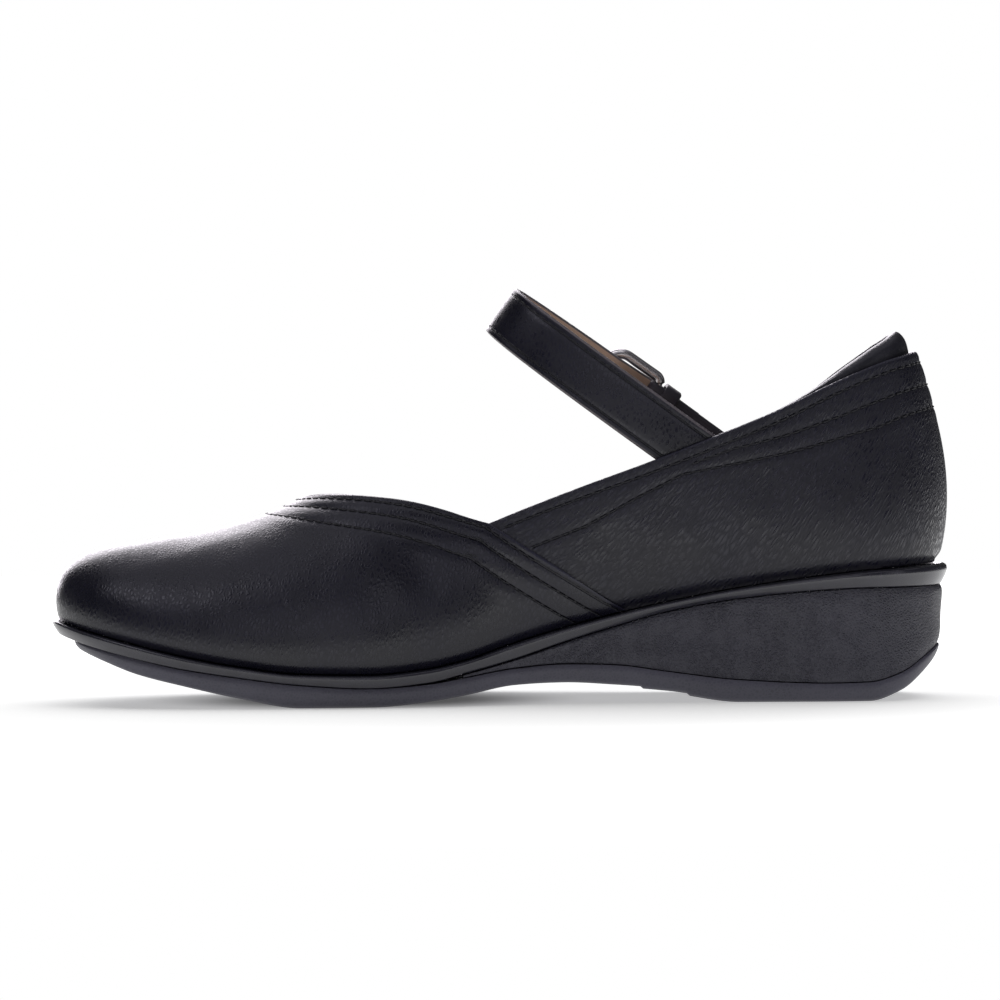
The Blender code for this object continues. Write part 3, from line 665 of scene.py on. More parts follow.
def bump(tree, height, distance, strength=1.0, normal=None):
    """Normal bent by a height in metres."""
    made = add_node(tree, "ShaderNodeBump", {"Height": height, "Distance": distance, "Strength": strength})
    if normal:
        tree.links.new(normal, made.inputs["Normal"])
    return made.outputs[0]


def noise_value(tree, vector, scale, detail):
    """Value of a noise texture."""
    return add_node(tree, "ShaderNodeTexNoise",
                    {"Vector": vector, "Scale": scale, "Detail": detail}).outputs["Fac"]


def mottled(tree, value, base, dark, light):
    """Base colour that drifts from a darker to a lighter share of itself."""
    return mix_colours(tree, span(tree, value, 0.3, 0.7), colour(base, dark), colour(base, light))


def dress(tree, shader, shown, rough, normal):
    """Feed a shader its colour, roughness and normal."""
    tree.links.new(shown, shader.inputs["Base Color"])
    tree.links.new(rough, shader.inputs["Roughness"])
    tree.links.new(normal, shader.inputs["Normal"])


# Turn and stretch of the grain, which lasting pulls into short upright or slanting strokes
VAMP_GRAIN = ((0.0, math.radians(-78.0), 0.0), (1.9, 1.1, 0.85))
QUARTER_GRAIN = ((0.0, math.radians(-40.0), 0.0), (2.8, 1.3, 1.1))
QUARTER_RELIEF = 2.4
QUARTER_STROKES = 0.2
SWEEP_FROM = -0.075
SWEEP_RATE = 4.7
GROOVE_HALF_WIDTH = 0.42
GROOVE_FLOOR = 0.12
GROOVE_DEPTH = 0.00025
GRAIN_DEPTH = 0.00008
SWELL_DEPTH = 0.00012
LINING_ROUGHNESS = 0.62
LINING_RELIEF = 0.35
VALLEY_ROUGHNESS = (0.14, 0.3)
# Painted highlight: the upper's marked edges are lightened to this multiple of the leather's colour
PAINTED_EDGE_HIGHLIGHT = 3.4


def swept_coordinates(tree, turn, scale):
    """The piece's own coordinates, turned and stretched, steeper and steeper towards the heel."""
    place = add_node(tree, "ShaderNodeTexCoord").outputs["Object"]
    x, y, z = add_node(tree, "ShaderNodeSeparateXYZ", {0: place}).outputs
    run = maths(tree, "SUBTRACT", x, SWEEP_FROM)
    lift = maths(tree, "MULTIPLY", maths(tree, "MULTIPLY", run, run), SWEEP_RATE)
    swept = add_node(tree, "ShaderNodeCombineXYZ", {0: x, 1: y, 2: maths(tree, "SUBTRACT", z, lift)})
    return add_node(tree, "ShaderNodeMapping",
                    {"Vector": swept.outputs[0], "Rotation": turn, "Scale": scale},
                    vector_type="TEXTURE").outputs[0]


def grooves(tree):
    """Share of the sharp groove that each row of stitches pulls, from the gaps held by the mesh."""
    shares = []
    for name in ROW_NAMES:
        gap = maths(tree, "ABSOLUTE", maths(tree, "SUBTRACT", attribute(tree, name), ROW_FLAG))
        shares.append(span(tree, gap, GROOVE_FLOOR, GROOVE_HALF_WIDTH, 1.0, 0.0))
    return maths(tree, "MAXIMUM", maths(tree, "MAXIMUM", shares[0], shares[1]), shares[2])


def leather_material(name, settings, lining, edge=None, calm=1.0):
    """Black pebbled leather, its relief scaled by calm, with painted shade in the grain's valleys and in
    the stitch grooves, a lining, and edges where the mesh says so, in the edge colour given and else
    lighter as a painted highlight.
    """
    material, tree, shader = new_material(name, specular_ior_level=0.5)
    plain = object_coordinates(tree)
    vamp = grain(tree, object_coordinates(tree, *VAMP_GRAIN), settings.pebble)
    slanted = swept_coordinates(tree, *QUARTER_GRAIN)
    quarter = grain(tree, slanted, settings.pebble)
    strokes = add_node(tree, "ShaderNodeTexWave",
                       {"Vector": slanted, "Scale": 260.0, "Distortion": 5.0, "Detail": 2.0,
                        "Detail Scale": 1.5}, bands_direction="Z").outputs["Fac"]
    lines = mix_values(tree, QUARTER_STROKES, quarter.outputs["Height"], strokes)
    quarter_share = attribute(tree, "quarter")
    lining_share = attribute(tree, "lining")
    edge_share = attribute(tree, "edge")
    height = mix_values(tree, quarter_share, vamp.outputs["Height"], lines)
    valley = mix_values(tree, quarter_share, vamp.outputs["Valley"], quarter.outputs["Valley"])
    cloud = noise_value(tree, plain, 60.0, 4.0)
    soft = noise_value(tree, plain, 140.0, 2.0)
    dye_and_painted_light = mottled(tree, cloud, settings.colour, 0.82, 1.2)
    # Painted shade: the grain's valleys are darkened to 0.45 of the leather's colour
    dye_and_painted_light = mix_colours(tree, maths(tree, "MULTIPLY", valley, 0.55), dye_and_painted_light, colour(settings.colour, 0.45))
    # The strap's cut edge takes its own colour; the upper's edges are lightened as a painted highlight
    cut_edge_and_highlight = colour(edge) if edge else colour(settings.colour, PAINTED_EDGE_HIGHLIGHT)
    dye_and_painted_light = mix_colours(tree, maths(tree, "MULTIPLY", edge_share, 0.7), dye_and_painted_light, cut_edge_and_highlight)
    groove = grooves(tree)
    # Painted shade in the grooves that the rows of stitches pull
    dye_and_painted_light = mix_colours(tree, maths(tree, "MULTIPLY", groove, 0.8), dye_and_painted_light, colour(settings.colour, 0.2))
    shown = mix_colours(tree, lining_share, dye_and_painted_light, colour(lining))
    rough = span(tree, cloud, 0.25, 0.75, settings.roughness - 0.06, settings.roughness + 0.07)
    dulled = maths(tree, "MULTIPLY", valley, mix_values(tree, quarter_share, *VALLEY_ROUGHNESS))
    rough = maths(tree, "ADD", rough, dulled)
    rough = mix_values(tree, lining_share, rough, LINING_ROUGHNESS)
    relief = maths(tree, "MULTIPLY", height, mix_values(tree, lining_share, 1.0, LINING_RELIEF))
    relief = maths(tree, "MULTIPLY", relief, mix_values(tree, quarter_share, 1.0, QUARTER_RELIEF))
    normal = bump(tree, soft, SWELL_DEPTH, 0.3 * calm)
    normal = bump(tree, relief, GRAIN_DEPTH, 0.7 * calm, normal)
    normal = bump(tree, maths(tree, "SUBTRACT", 1.0, groove), GROOVE_DEPTH, 1.0, normal)
    dress(tree, shader, shown, rough, normal)
    return material


def lining_material(name, base, roughness, cell, relief):
    """Smooth lining leather with a fine even grain."""
    material, tree, shader = new_material(name, coat_weight=0.06, coat_roughness=0.4)
    plain = object_coordinates(tree)
    fine = grain(tree, plain, cell)
    cloud = noise_value(tree, plain, 90.0, 3.0)
    shown = mottled(tree, cloud, base, 0.85, 1.2)
    rough = span(tree, cloud, 0.3, 0.7, roughness - 0.05, roughness + 0.06)
    dress(tree, shader, shown, rough, bump(tree, fine.outputs["Height"], relief, 0.6))
    return material


def rubber_material(name, base, roughness, cell, relief, cloud_scale=45.0, gloss=0.5):
    """Moulded rubber with a fine stipple, slightly dusty in its hollows."""
    material, tree, shader = new_material(name, specular_ior_level=gloss)
    plain = object_coordinates(tree)
    stipple = grain(tree, plain, cell)
    cloud = noise_value(tree, plain, cloud_scale, 5.0)
    speck = noise_value(tree, plain, 1400.0, 2.0)
    shown = mottled(tree, cloud, base, 0.86, 1.16)
    dust = maths(tree, "MULTIPLY", stipple.outputs["Valley"], 0.35)
    shown = mix_colours(tree, dust, shown, colour(base, 1.7))
    rough = span(tree, cloud, 0.25, 0.75, roughness - 0.05, roughness + 0.06)
    normal = bump(tree, stipple.outputs["Height"], relief, 0.8)
    dress(tree, shader, shown, rough, bump(tree, speck, relief * 0.4, 0.5, normal))
    return material


def metal_material(name, settings):
    """Dark plated metal with faint polishing marks."""
    material, tree, shader = new_material(name, metallic=1.0)
    plain = object_coordinates(tree, scale=(1.0, 1.0, 4.0))
    marks = noise_value(tree, plain, 2600.0, 4.0)
    shown = mottled(tree, noise_value(tree, plain, 320.0, 3.0), settings.colour, 0.85, 1.25)
    rough = span(tree, marks, 0.2, 0.8, settings.roughness - 0.015, settings.roughness + 0.02)
    dress(tree, shader, shown, rough, bump(tree, marks, 0.00001, 0.06))
    return material


def thread_material(settings):
    """Twisted black thread."""
    material, tree, shader = new_material("thread")
    plain = object_coordinates(tree, (0.6, 0.4, 0.3), (1.0, 1.0, 0.35))
    twist = noise_value(tree, plain, 1800.0, 1.0)
    shown = mottled(tree, twist, settings.colour, 0.6, 1.5)
    rough = span(tree, twist, 0.3, 0.7, 0.45, 0.62)
    dress(tree, shader, shown, rough, bump(tree, twist, 0.00008, 0.6))
    return material


# Upper

COLUMNS_PER_ROW = 14
SEARCH_COLUMNS_PER_ROW = 6
SEARCH_SHARES = 36
SEARCH_PITCH = 0.0004
THROAT_STEPS = 90
SEAM_STEPS = 50
TOPLINE_STEPS = 140
SEAM_COLUMNS = (-0.05, -0.025, -0.016, -0.008, 0.0, 0.008, 0.02)
SEAM_WIDTH = 0.008
LOWER_SHARES = 0.66 * np.linspace(0.0, 1.0, 36) ** 1.25
UPPER_SHARES = np.linspace(0.66, 1.0, 39)[1:]
INNER_STEP = 6
EDGE_ROLL = (35.0, 75.0, 105.0, 145.0)
EDGE_HEIGHT = 0.45
TUCK_HEIGHT = 4.5
TUCK_DEPTH = 1.1
TUCK_TOE_LENGTH = 30.0
TUCK_TOE_SHARE = 0.25
# Swells of the leather: share of the puff, distance from a row, half width
SWELL_PAST_VAMP_ROWS = (0.6, 2.6, 2.0)
SWELL_BESIDE_QUARTER_ROWS = (0.5, 2.4, 1.3)
TOPLINE_FADE = 1.2
NEAR_TOP = 0.94
SEAM_SMEAR = 0.02
# Share of the painted edge highlight on the rolled topline edge and along the vamp's lapped edge
EDGE_HIGHLIGHT_SHARE = 0.5
THREAD_SHOWN = 0.35
UNEVEN_SCALE = 0.055
UNEVEN_HEIGHT = 0.16


def upper_places():
    """Fractional rows of the dense ribs, closer at the vamp's lapped edge."""
    even = np.linspace(0.0, LAST_ROW, LAST_ROW * COLUMNS_PER_ROW + 1)
    seam = SEAM_ROW + np.array(SEAM_COLUMNS)
    even = even[np.min(np.abs(even[:, None] - seam[None, :]), axis=1) > 0.004]
    return np.sort(np.concatenate((even, seam)))


def vamp_lap(places):
    """How far the vamp stands proud of the quarter it laps over."""
    return VAMP_LAP * (1.0 - ease((places - SEAM_ROW + SEAM_WIDTH) / SEAM_WIDTH))


def ring_both(values):
    """Values of the medial ribs, then of the lateral ones back to the start."""
    return np.concatenate((values, values[-2::-1]))


def surface_tree():
    """Search tree of the upper's outer face, the vamp's lap included."""
    places = np.linspace(0.0, LAST_ROW, LAST_ROW * SEARCH_COLUMNS_PER_ROW + 1)
    shares = np.linspace(0.0, 1.0, SEARCH_SHARES)
    points = ring_points(places, shares)
    points = points + grid_normals(points) * ring_both(vamp_lap(places))[:, None, None]
    bm = bmesh.new()
    bend_grid(bm, points)
    tree = BVHTree.FromBMesh(bm)
    bm.free()
    return tree


def rib_strip(places, side, share):
    """One point on each of several ribs."""
    return rib_points(rib_controls(places, side), (share,))[:, 0]


def vamp_edge(side):
    """Edge of the vamp from the throat's front to the sole, and the way in from it."""
    places = np.linspace(0.0, SEAM_ROW - 0.05, THROAT_STEPS)
    throat = top_line(places, side)
    throat_in = rib_strip(places, side, NEAR_TOP) - throat
    shares = np.linspace(1.0, 0.0, SEAM_STEPS)
    seam = rib_points(rib_controls(np.array((SEAM_ROW, SEAM_ROW - 0.5), float), side), shares)
    return np.concatenate((throat, seam[0])), np.concatenate((throat_in, seam[1] - seam[0]))


def topline(side):
    """Topline of the quarter from the vamp to the heel, and the way down from it."""
    places = np.linspace(SEAM_ROW + 0.02, LAST_ROW, TOPLINE_STEPS)
    edge = top_line(places, side)
    return edge, rib_strip(places, side, NEAR_TOP) - edge


def whole_vamp_edge():
    """Vamp's edge from the lateral sole over the throat to the medial sole, and the way in from it."""
    return [np.concatenate((lateral[:0:-1], medial))
            for lateral, medial in zip(vamp_edge(LATERAL), vamp_edge(MEDIAL))]


def whole_topline():
    """Topline from the medial seam round the heel to the lateral one, and the way down from it."""
    return [np.concatenate((medial, lateral[-2::-1]))
            for medial, lateral in zip(topline(MEDIAL), topline(LATERAL))]


def surface_row(tree, edge, inwards, offsets):
    """Line on the upper at the given distances from an edge, with the surface's normals."""
    run = unit(np.gradient(edge, axis=0))
    aside = unit(inwards - run * dots(inwards, run))
    spots = edge + aside * np.broadcast_to(offsets, (len(edge),))[:, None]
    line = []
    normals = []
    for spot in placed(spots):
        found, normal, _, _ = tree.find_nearest(Vector(spot))
        line.append(found)
        normals.append(normal)
    return np.array(line), np.array(normals)


def stitch_rows(tree):
    """All rows of the upper as lines with normals, in metres, on both sides."""
    edge, inwards = whole_vamp_edge()
    rows = [surface_row(tree, edge, inwards, distance) for distance in VAMP_ROWS]
    edge, inwards = whole_topline()
    for table in QUARTER_ROWS:
        xs, offsets = zip(*table)
        kept = edge[:, 0] >= xs[0]
        below = np.interp(edge[kept, 0], xs, offsets)
        rows.append(surface_row(tree, edge[kept], inwards[kept], below))
    return rows


def nearest(points, line):
    """Distance in millimetres from points to a line, and x along it there, for both in metres."""
    spots, _ = walk(line, SEARCH_PITCH)
    tree = point_tree(spots)
    found = [tree.find(point) for point in points]
    distance = np.array([gap for _, _, gap in found]) / MM
    return distance, spots[[index for _, index, _ in found], 0] / MM + HEEL_TREAD_X


def trough(distance, half_width):
    """Soft groove, 1 at its bottom."""
    return np.exp(-(distance / half_width) ** 2)


def crease_depth(points):
    """Depth of the listed creases, a trough with a low ridge on each side."""
    depth = np.zeros(len(points))
    for side, start_x, start_z, end_x, end_z, half_width, deepest in CREASES:
        start = np.array((start_x, start_z))
        run = np.array((end_x, end_z)) - start
        flat = points[:, (0, 2)] - start
        along = np.clip(flat @ run / (run @ run), 0.0, 1.0)
        distance = np.linalg.norm(flat - along[:, None] * run, axis=1)
        fade = np.sin(math.pi * np.clip(along, 0.04, 0.96)) * (points[:, 1] * side > 0.0)
        ridge = trough(np.abs(distance - CREASE_RIDGE_AT * half_width), half_width)
        depth += fade * deepest * (trough(distance, half_width) - CREASE_RIDGE * ridge)
    return depth


def unevenness(points, scale, height):
    """Slow random swell of hand-lasted leather."""
    return np.array([noise.noise(Vector(point) * scale) for point in points]) * height


def row_gaps(points, on_vamp):
    """Signed distances in millimetres from each point to the three rows of its panel, and to its edge."""
    spots = placed(points)
    gaps = np.full((len(points), len(ROW_NAMES)), ROW_FLAG)
    edges = np.empty(len(points))
    edges[on_vamp], _ = nearest(spots[on_vamp], placed(whole_vamp_edge()[0]))
    gaps[on_vamp] = edges[on_vamp, None] - VAMP_ROWS
    quarter = ~on_vamp
    edges[quarter], x = nearest(spots[quarter], placed(whole_topline()[0]))
    for index, table in enumerate(QUARTER_ROWS):
        xs, offsets = zip(*table)
        gaps[quarter, index] = np.where(x >= xs[0], edges[quarter] - np.interp(x, xs, offsets), ROW_FLAG)
    return gaps, edges


def upper_relief(points, on_vamp, gaps, edges, settings):
    """Displacement of the outer face in millimetres, for points in millimetres."""
    relief = unevenness(points, UNEVEN_SCALE, UNEVEN_HEIGHT) - crease_depth(points)
    relief -= settings.trough / MM * trough(gaps, ROW_HALF_WIDTH).sum(axis=1)
    puff = settings.puff / MM
    swell = np.zeros(len(points))
    for low, high in zip(VAMP_ROWS[:-1], VAMP_ROWS[1:]):
        swell += puff * np.sin(math.pi * np.clip((edges - low) / (high - low), 0.0, 1.0))
    share, distance, half_width = SWELL_PAST_VAMP_ROWS
    swell += share * puff * trough(edges - VAMP_ROWS[-1] - distance, half_width)
    share, distance, half_width = SWELL_BESIDE_QUARTER_ROWS
    beside = share * puff * trough(np.abs(gaps) - distance, half_width).sum(axis=1)
    relief += np.where(on_vamp, swell, beside)
    return relief * np.where(on_vamp, 1.0, ease(edges / TOPLINE_FADE + 0.2))


def build_upper(settings):
    """Leather upper: outer face with its relief, rolled edge and lining, as one closed wall."""
    places = upper_places()
    shares = np.concatenate((LOWER_SHARES, UPPER_SHARES))
    base = ring_points(places, shares)
    normals = grid_normals(base)
    ring = ring_both(places)
    lap = ring_both(vamp_lap(places))
    count = len(shares)
    flat = base.reshape(-1, 3)
    on_vamp = np.repeat(ring, count) <= SEAM_ROW
    gaps, edges = row_gaps(flat, on_vamp)
    relief = upper_relief(flat, on_vamp, gaps, edges, settings.stitch)
    gaps = gaps.reshape(len(ring), count, -1) + ROW_FLAG
    relief = relief.reshape(len(ring), count) * ease(shares / 0.05)[None, :]
    past_toe = ease(base[:, :1, 0] / TUCK_TOE_LENGTH)
    tuck = TUCK_DEPTH * (TUCK_TOE_SHARE + (1.0 - TUCK_TOE_SHARE) * past_toe)
    relief -= tuck * (1.0 - ease((base[:, :, 2] - base[:, :1, 2]) / TUCK_HEIGHT)) ** 2
    outer = base + normals * (relief + lap[:, None])[:, :, None]
    inner_index = [*range(count - 1, 0, -INNER_STEP), 0]
    inner = (base - normals * WALL)[:, inner_index]
    climb = unit(base[:, -1] - base[:, -2])
    middle = (outer[:, -1] + inner[:, 0]) / 2.0
    across = outer[:, -1] - middle
    roll = []
    for turn in EDGE_ROLL:
        angle = math.radians(turn)
        rise = climb * (WALL * EDGE_HEIGHT * math.sin(angle))
        roll.append(middle + across * math.cos(angle) + rise)
    for wall in (outer[:, 0], inner[:, -1]):
        wall[:, 2] = sole_height("feather", wall[:, 0])
    points = np.concatenate((outer, np.stack(roll, axis=1), inner, outer[:, :1]), axis=1)
    bm = bmesh.new()
    lining = bm.verts.layers.float.new("lining")
    quarter = bm.verts.layers.float.new("quarter")
    edge = bm.verts.layers.float.new("edge")
    seams = [bm.verts.layers.float.new(name) for name in ROW_NAMES]
    spots = bend_grid(bm, points)
    inside = count + len(EDGE_ROLL)
    lapped = trough(ring - SEAM_ROW + SEAM_SMEAR, SEAM_SMEAR) * (ring < SEAM_ROW)
    for vert, (column, row) in spots.items():
        vert[quarter] = float(ease((ring[column] - SEAM_ROW) / SEAM_SMEAR))
        vert[lining] = 1.0 if inside <= row < points.shape[1] - 1 else 0.0
        if row < count:
            # Painted highlight along the vamp's lapped edge
            vert[edge] = EDGE_HIGHLIGHT_SHARE * lapped[column]
            for seam, gap in zip(seams, gaps[column, row]):
                vert[seam] = gap
        elif row < inside:
            # Painted highlight on the rolled topline edge
            vert[edge] = EDGE_HIGHLIGHT_SHARE
    weld(bm)
    leather = settings.leather
    material = leather_material("black_leather", leather, leather.lining)
    return add_piece("upper_leather", bm, material, "upper", sharp=75.0)


def sew(bm, line, normals, settings, start=0.0012):
    """Stitches along a line that lies on a surface, each a small round-ended thread."""
    spots, runs = walk(line, settings.pitch, start)
    tree = point_tree(line)
    for spot, run in zip(spots, runs):
        normal = Vector(normals[tree.find(spot)[1]])
        run = Vector(run)
        beside = normal.cross(run).normalized()
        up = run.cross(beside)
        centre = Vector(spot) - up * (settings.trough - settings.thread * THREAD_SHOWN)
        shape = Matrix((run * (settings.length / 2.0), beside * settings.thread, up * settings.thread))
        place = Matrix.Translation(centre) @ shape.transposed().to_4x4()
        bmesh.ops.create_uvsphere(bm, u_segments=6, v_segments=5, radius=1.0, matrix=place)


def on_upper(line, normals):
    """The stretch of a row that stays clear of the rim."""
    x = line[:, 0] / MM + HEEL_TREAD_X
    kept = line[:, 2] / MM > sole_height("feather", x) + ROW_END_HEIGHT
    return line[kept], normals[kept]


# Collar pad

def closed_curve(knots, steps):
    """Smooth closed curves through rings of knots, as rings by steps + 1 by xyz."""
    count = knots.shape[1]
    at = np.linspace(0.0, count, steps + 1)
    index = np.floor(at).astype(int) % count
    share = (at - np.floor(at))[None, :, None]
    before, start, end, after = (knots[:, (index + offset) % count] for offset in (-1, 0, 1, 2))
    return hermite(start, end, 0.5 * (end - before), 0.5 * (after - start), share)


def pad_rings(places, side):
    """Corner points of the pad's sections."""
    controls = rib_controls(places, side)
    length = np.linalg.norm(controls[3] - controls[0], axis=1)
    back = ease((places - PAD_FIRST_ROW) / (LAST_ROW - PAD_FIRST_ROW))
    rise = PAD_RISE_FRONT + (PAD_RISE_BACK - PAD_RISE_FRONT) * back
    taper = ease((places - PAD_FIRST_ROW) / PAD_TAPER_ROWS)
    fill = PAD_FILL_FRONT + (1.0 - PAD_FILL_FRONT) * taper
    climb = unit(controls[3] - rib_points(controls, (0.95,))[:, 0])
    out = outward(places, side)
    corners = []
    for where, share, inwards in PAD_SECTION:
        if where == "below":
            down = 1.0 - share * PAD_DEPTH / length
            spots = np.stack([rib_points([part[i:i + 1] for part in controls], (down[i],))[0, 0]
                              for i in range(len(places))])
        else:
            spots = controls[3] + climb * (share * rise)[:, None]
        corners.append(spots - out * (WALL + PAD_GAP + inwards * fill)[:, None])
    return np.stack(corners, axis=1)


def build_collar_pad(settings):
    """Padded heel collar with soft folds where it bends round the heel."""
    places = np.linspace(PAD_FIRST_ROW, LAST_ROW, PAD_COLUMNS)
    rings = np.concatenate((pad_rings(places, MEDIAL), pad_rings(places, LATERAL)[-2::-1]))
    points = closed_curve(rings, PAD_STEPS)
    middle = rings.mean(axis=1, keepdims=True)
    flat = points.reshape(-1, 3)
    swell = sum(unevenness(flat, scale, height) for scale, height in PAD_FOLDS)
    points = points + unit(points - middle) * swell.reshape(points.shape[:2])[:, :, None]
    bm = bmesh.new()
    bend_grid(bm, points)
    weld(bm)
    close_ends(bm)
    material = lining_material("collar_lining", settings.leather.lining, roughness=0.40, cell=0.0009,
                               relief=0.00008)
    piece = add_piece("collar_padding", bm, material, "collar_pad")
    return piece


# Sole

SOLE_COLUMNS_PER_ROW = 14
PROFILE_SCALE = 4.0


def edge_profile(edge, steps):
    """Rounded edge profile as reach and share of the height."""
    knots = np.array(edge) * (1.0, PROFILE_SCALE)
    return smooth_profile(knots, steps) / (1.0, PROFILE_SCALE)


def layer_edge(places, side, reach, set_back=None):
    """Plan of the feather edge, moved outwards."""
    foot = foot_line(places, side)
    moved = reach - (set_back(foot[:, 0]) if set_back else 0.0)
    return foot + outward(places, side) * np.broadcast_to(moved, (len(places),))[:, None]


def layer_points(places, profile, low, high, set_back=None):
    """Side wall of a layer: medial and lateral halves as columns by rows by xyz."""
    halves = []
    for side in (MEDIAL, LATERAL):
        rows = []
        for reach, share in profile:
            edge = layer_edge(places, side, reach, set_back)
            edge[:, 2] = low(edge[:, 0]) + (high(edge[:, 0]) - low(edge[:, 0])) * share
            rows.append(edge)
        halves.append(np.stack(rows, axis=1))
    return halves


def cover(medial, lateral, steps, height):
    """Sheet across a layer from its medial edge to its lateral one."""
    share = np.linspace(0.0, 1.0, steps)[None, :, None]
    sheet = medial[:, None, :] * (1.0 - share) + lateral[:, None, :] * share
    sheet[:, 1:-1, 2] = height(sheet[:, 1:-1, 0], sheet[:, 1:-1, 1])
    return sheet


def layer_mesh(places, edge, low, high, steps, across, set_back=None, underside=None, top=None):
    """Closed mesh of one layer of the sole."""
    medial, lateral = layer_points(places, edge_profile(edge, steps), low, high, set_back)
    bm = bmesh.new()
    bend_grid(bm, np.concatenate((medial, lateral[-2::-1])))
    bend_grid(bm, cover(medial[:, 0], lateral[:, 0], across, underside or (lambda x, y: low(x))))
    bend_grid(bm, cover(medial[:, -1], lateral[:, -1], across, top or (lambda x, y: high(x))))
    weld(bm)
    close_ends(bm)
    return bm


def layer_height(column, above=0.0):
    """Function of x that gives the height of one of the sole's layers."""
    return lambda x: sole_height(column, x) + above


def layer_places(first=0.0):
    """Fractional rows of a layer's dense sections."""
    return np.linspace(first, LAST_ROW, int((LAST_ROW - first) * SOLE_COLUMNS_PER_ROW) + 1)


def tread_height(x):
    """Underside of the outsole: its waist is recessed and steps down to the heel's tread."""
    waist = ease((x - WAIST_START_X) / WAIST_RISE_LENGTH)
    steps_ahead = sum((x < step).astype(float) for step in TREAD_STEPS_X)
    return sole_height("tread", x) + TREAD_STEP * steps_ahead * waist


def toe_set_back(x):
    """How much further in the outsole lies under the toe."""
    return TOE_SET_BACK * (1.0 - ease(x / TOE_SET_BACK_LENGTH))


TREAD_PITCH = 5.2
TREAD_WAVE = 2.4
TREAD_WAVE_LENGTH = 15.0
TREAD_GROOVE = 0.16
TREAD_GROOVE_SLOPE = 0.06
TREAD_ZONES = ((22.0, 106.0), (190.0, 236.0))
TREAD_ZONE_FADE = 3.0


def tread_grooves(x, y):
    """Wavy cross grooves under the forefoot and the heel, 1 at their bottom."""
    wave = TREAD_WAVE * np.sin(2.0 * math.pi * y / TREAD_WAVE_LENGTH)
    phase = ((x + wave) / TREAD_PITCH) % 1.0
    groove = ease((TREAD_GROOVE - np.abs(phase - 0.5)) / TREAD_GROOVE_SLOPE)
    zone = sum(ease((x - low) / TREAD_ZONE_FADE) * ease((high - x) / TREAD_ZONE_FADE)
               for low, high in TREAD_ZONES)
    return groove * zone


def build_outsole(settings):
    """Bottom layer with its rolled edge and fine tread."""
    def underside(x, y):
        return tread_height(x) + settings.tread_depth / MM * tread_grooves(x, y)
    bm = layer_mesh(layer_places(), OUTSOLE_EDGE, tread_height,
                    layer_height("groove", -CLEARANCE), steps=16, across=70, set_back=toe_set_back,
                    underside=underside)
    material = rubber_material("outsole_rubber", settings.outsole, roughness=0.46, cell=0.0009,
                               relief=0.00005)
    return add_piece("outsole_rubber", bm, material, "outsole", sharp=50.0)


def build_wedge(settings):
    """Wedge with its finely textured side."""
    bm = layer_mesh(layer_places(place_at(WEDGE_FRONT_X)), WEDGE_EDGE,
                    layer_height("groove"), layer_height("rim_low", -CLEARANCE), steps=26, across=6)
    material = rubber_material("wedge_rubber", settings.wedge, roughness=0.45, cell=0.0009, relief=0.00045)
    return add_piece("wedge_rubber", bm, material, "wedge_midsole", sharp=50.0)


def build_rim(settings):
    """Smooth rounded lip under the upper."""
    bm = layer_mesh(layer_places(), RIM_EDGE, layer_height("rim_low"),
                    layer_height("feather", -CLEARANCE), steps=20, across=6)
    material = rubber_material("rim_rubber", settings.rim, roughness=0.22, cell=0.004, relief=0.00002,
                               cloud_scale=90.0, gloss=0.8)
    return add_piece("rim_lip", bm, material, "sole_rim", sharp=70.0)


SOCK_DISH = 0.9
SOCK_MIDDLE = -1.0
SOCK_HALF_WIDTH = 36.0
SOCK_TOE = (10.0, 30.0)
SOCK_HEEL = (246.0, 20.0)


def build_insole(settings):
    """Sock on the footbed, slightly dished under the foot."""
    def dished(x, y):
        middle = 1.0 - np.clip(np.abs(y - SOCK_MIDDLE) / SOCK_HALF_WIDTH, 0.0, 1.0) ** 2
        ends = ease((x - SOCK_TOE[0]) / SOCK_TOE[1]) * ease((SOCK_HEEL[0] - x) / SOCK_HEEL[1])
        return sole_height("feather", x) + INSOLE_THICK - SOCK_DISH * middle * ends
    bm = layer_mesh(layer_places(), INSOLE_EDGE, layer_height("feather"),
                    layer_height("feather", INSOLE_THICK), steps=8, across=30, top=dished)
    material = lining_material("sock_lining", settings.sock, roughness=0.74, cell=0.0007, relief=0.00010)
    return add_piece("sock", bm, material, "insole")


# Strap, tab, keeper and buckle

BAND_ROW_INSET = 2.0
BAND_CORNER = 0.7
BAND_CROWN = 0.25
BAND_TROUGH = 0.14
BAND_EDGE = 0.55
BAND_OUTER_STEPS = 33
BAND_CORNER_STEPS = 6
BAND_INNER_STEPS = 9
STRAP_STEPS = 260
TAB_STEPS = 120
STRAP_CUT_EDGE = (0.35, 0.31, 0.32)
STRAP_CALM = 0.25
STRAP_STITCHED = slice(20, -14)
STRAP_STITCH_SINK = 0.1
TIP_LENGTH = 7.0


def strap_width(across):
    """Width of the strap, which tapers from the medial collar to its buckled end."""
    share = ease((across + STRAP_MEDIAL) / (STRAP_MEDIAL + STRAP_LATERAL))
    return STRAP_WIDTH + (STRAP_END_WIDTH - STRAP_WIDTH) * share


def strap_space(along, across, over):
    """Points of the strap's tilted plane: along it to the toe, across the shoe, over it."""
    over = over + (across + STRAP_MEDIAL) * STRAP_ROLL
    x = STRAP_BASE_X - along * math.cos(STRAP_RISE) + over * math.sin(STRAP_RISE)
    z = STRAP_BASE_Z + along * math.sin(STRAP_RISE) + over * math.cos(STRAP_RISE)
    return np.stack(np.broadcast_arrays(x, across, z), axis=-1)


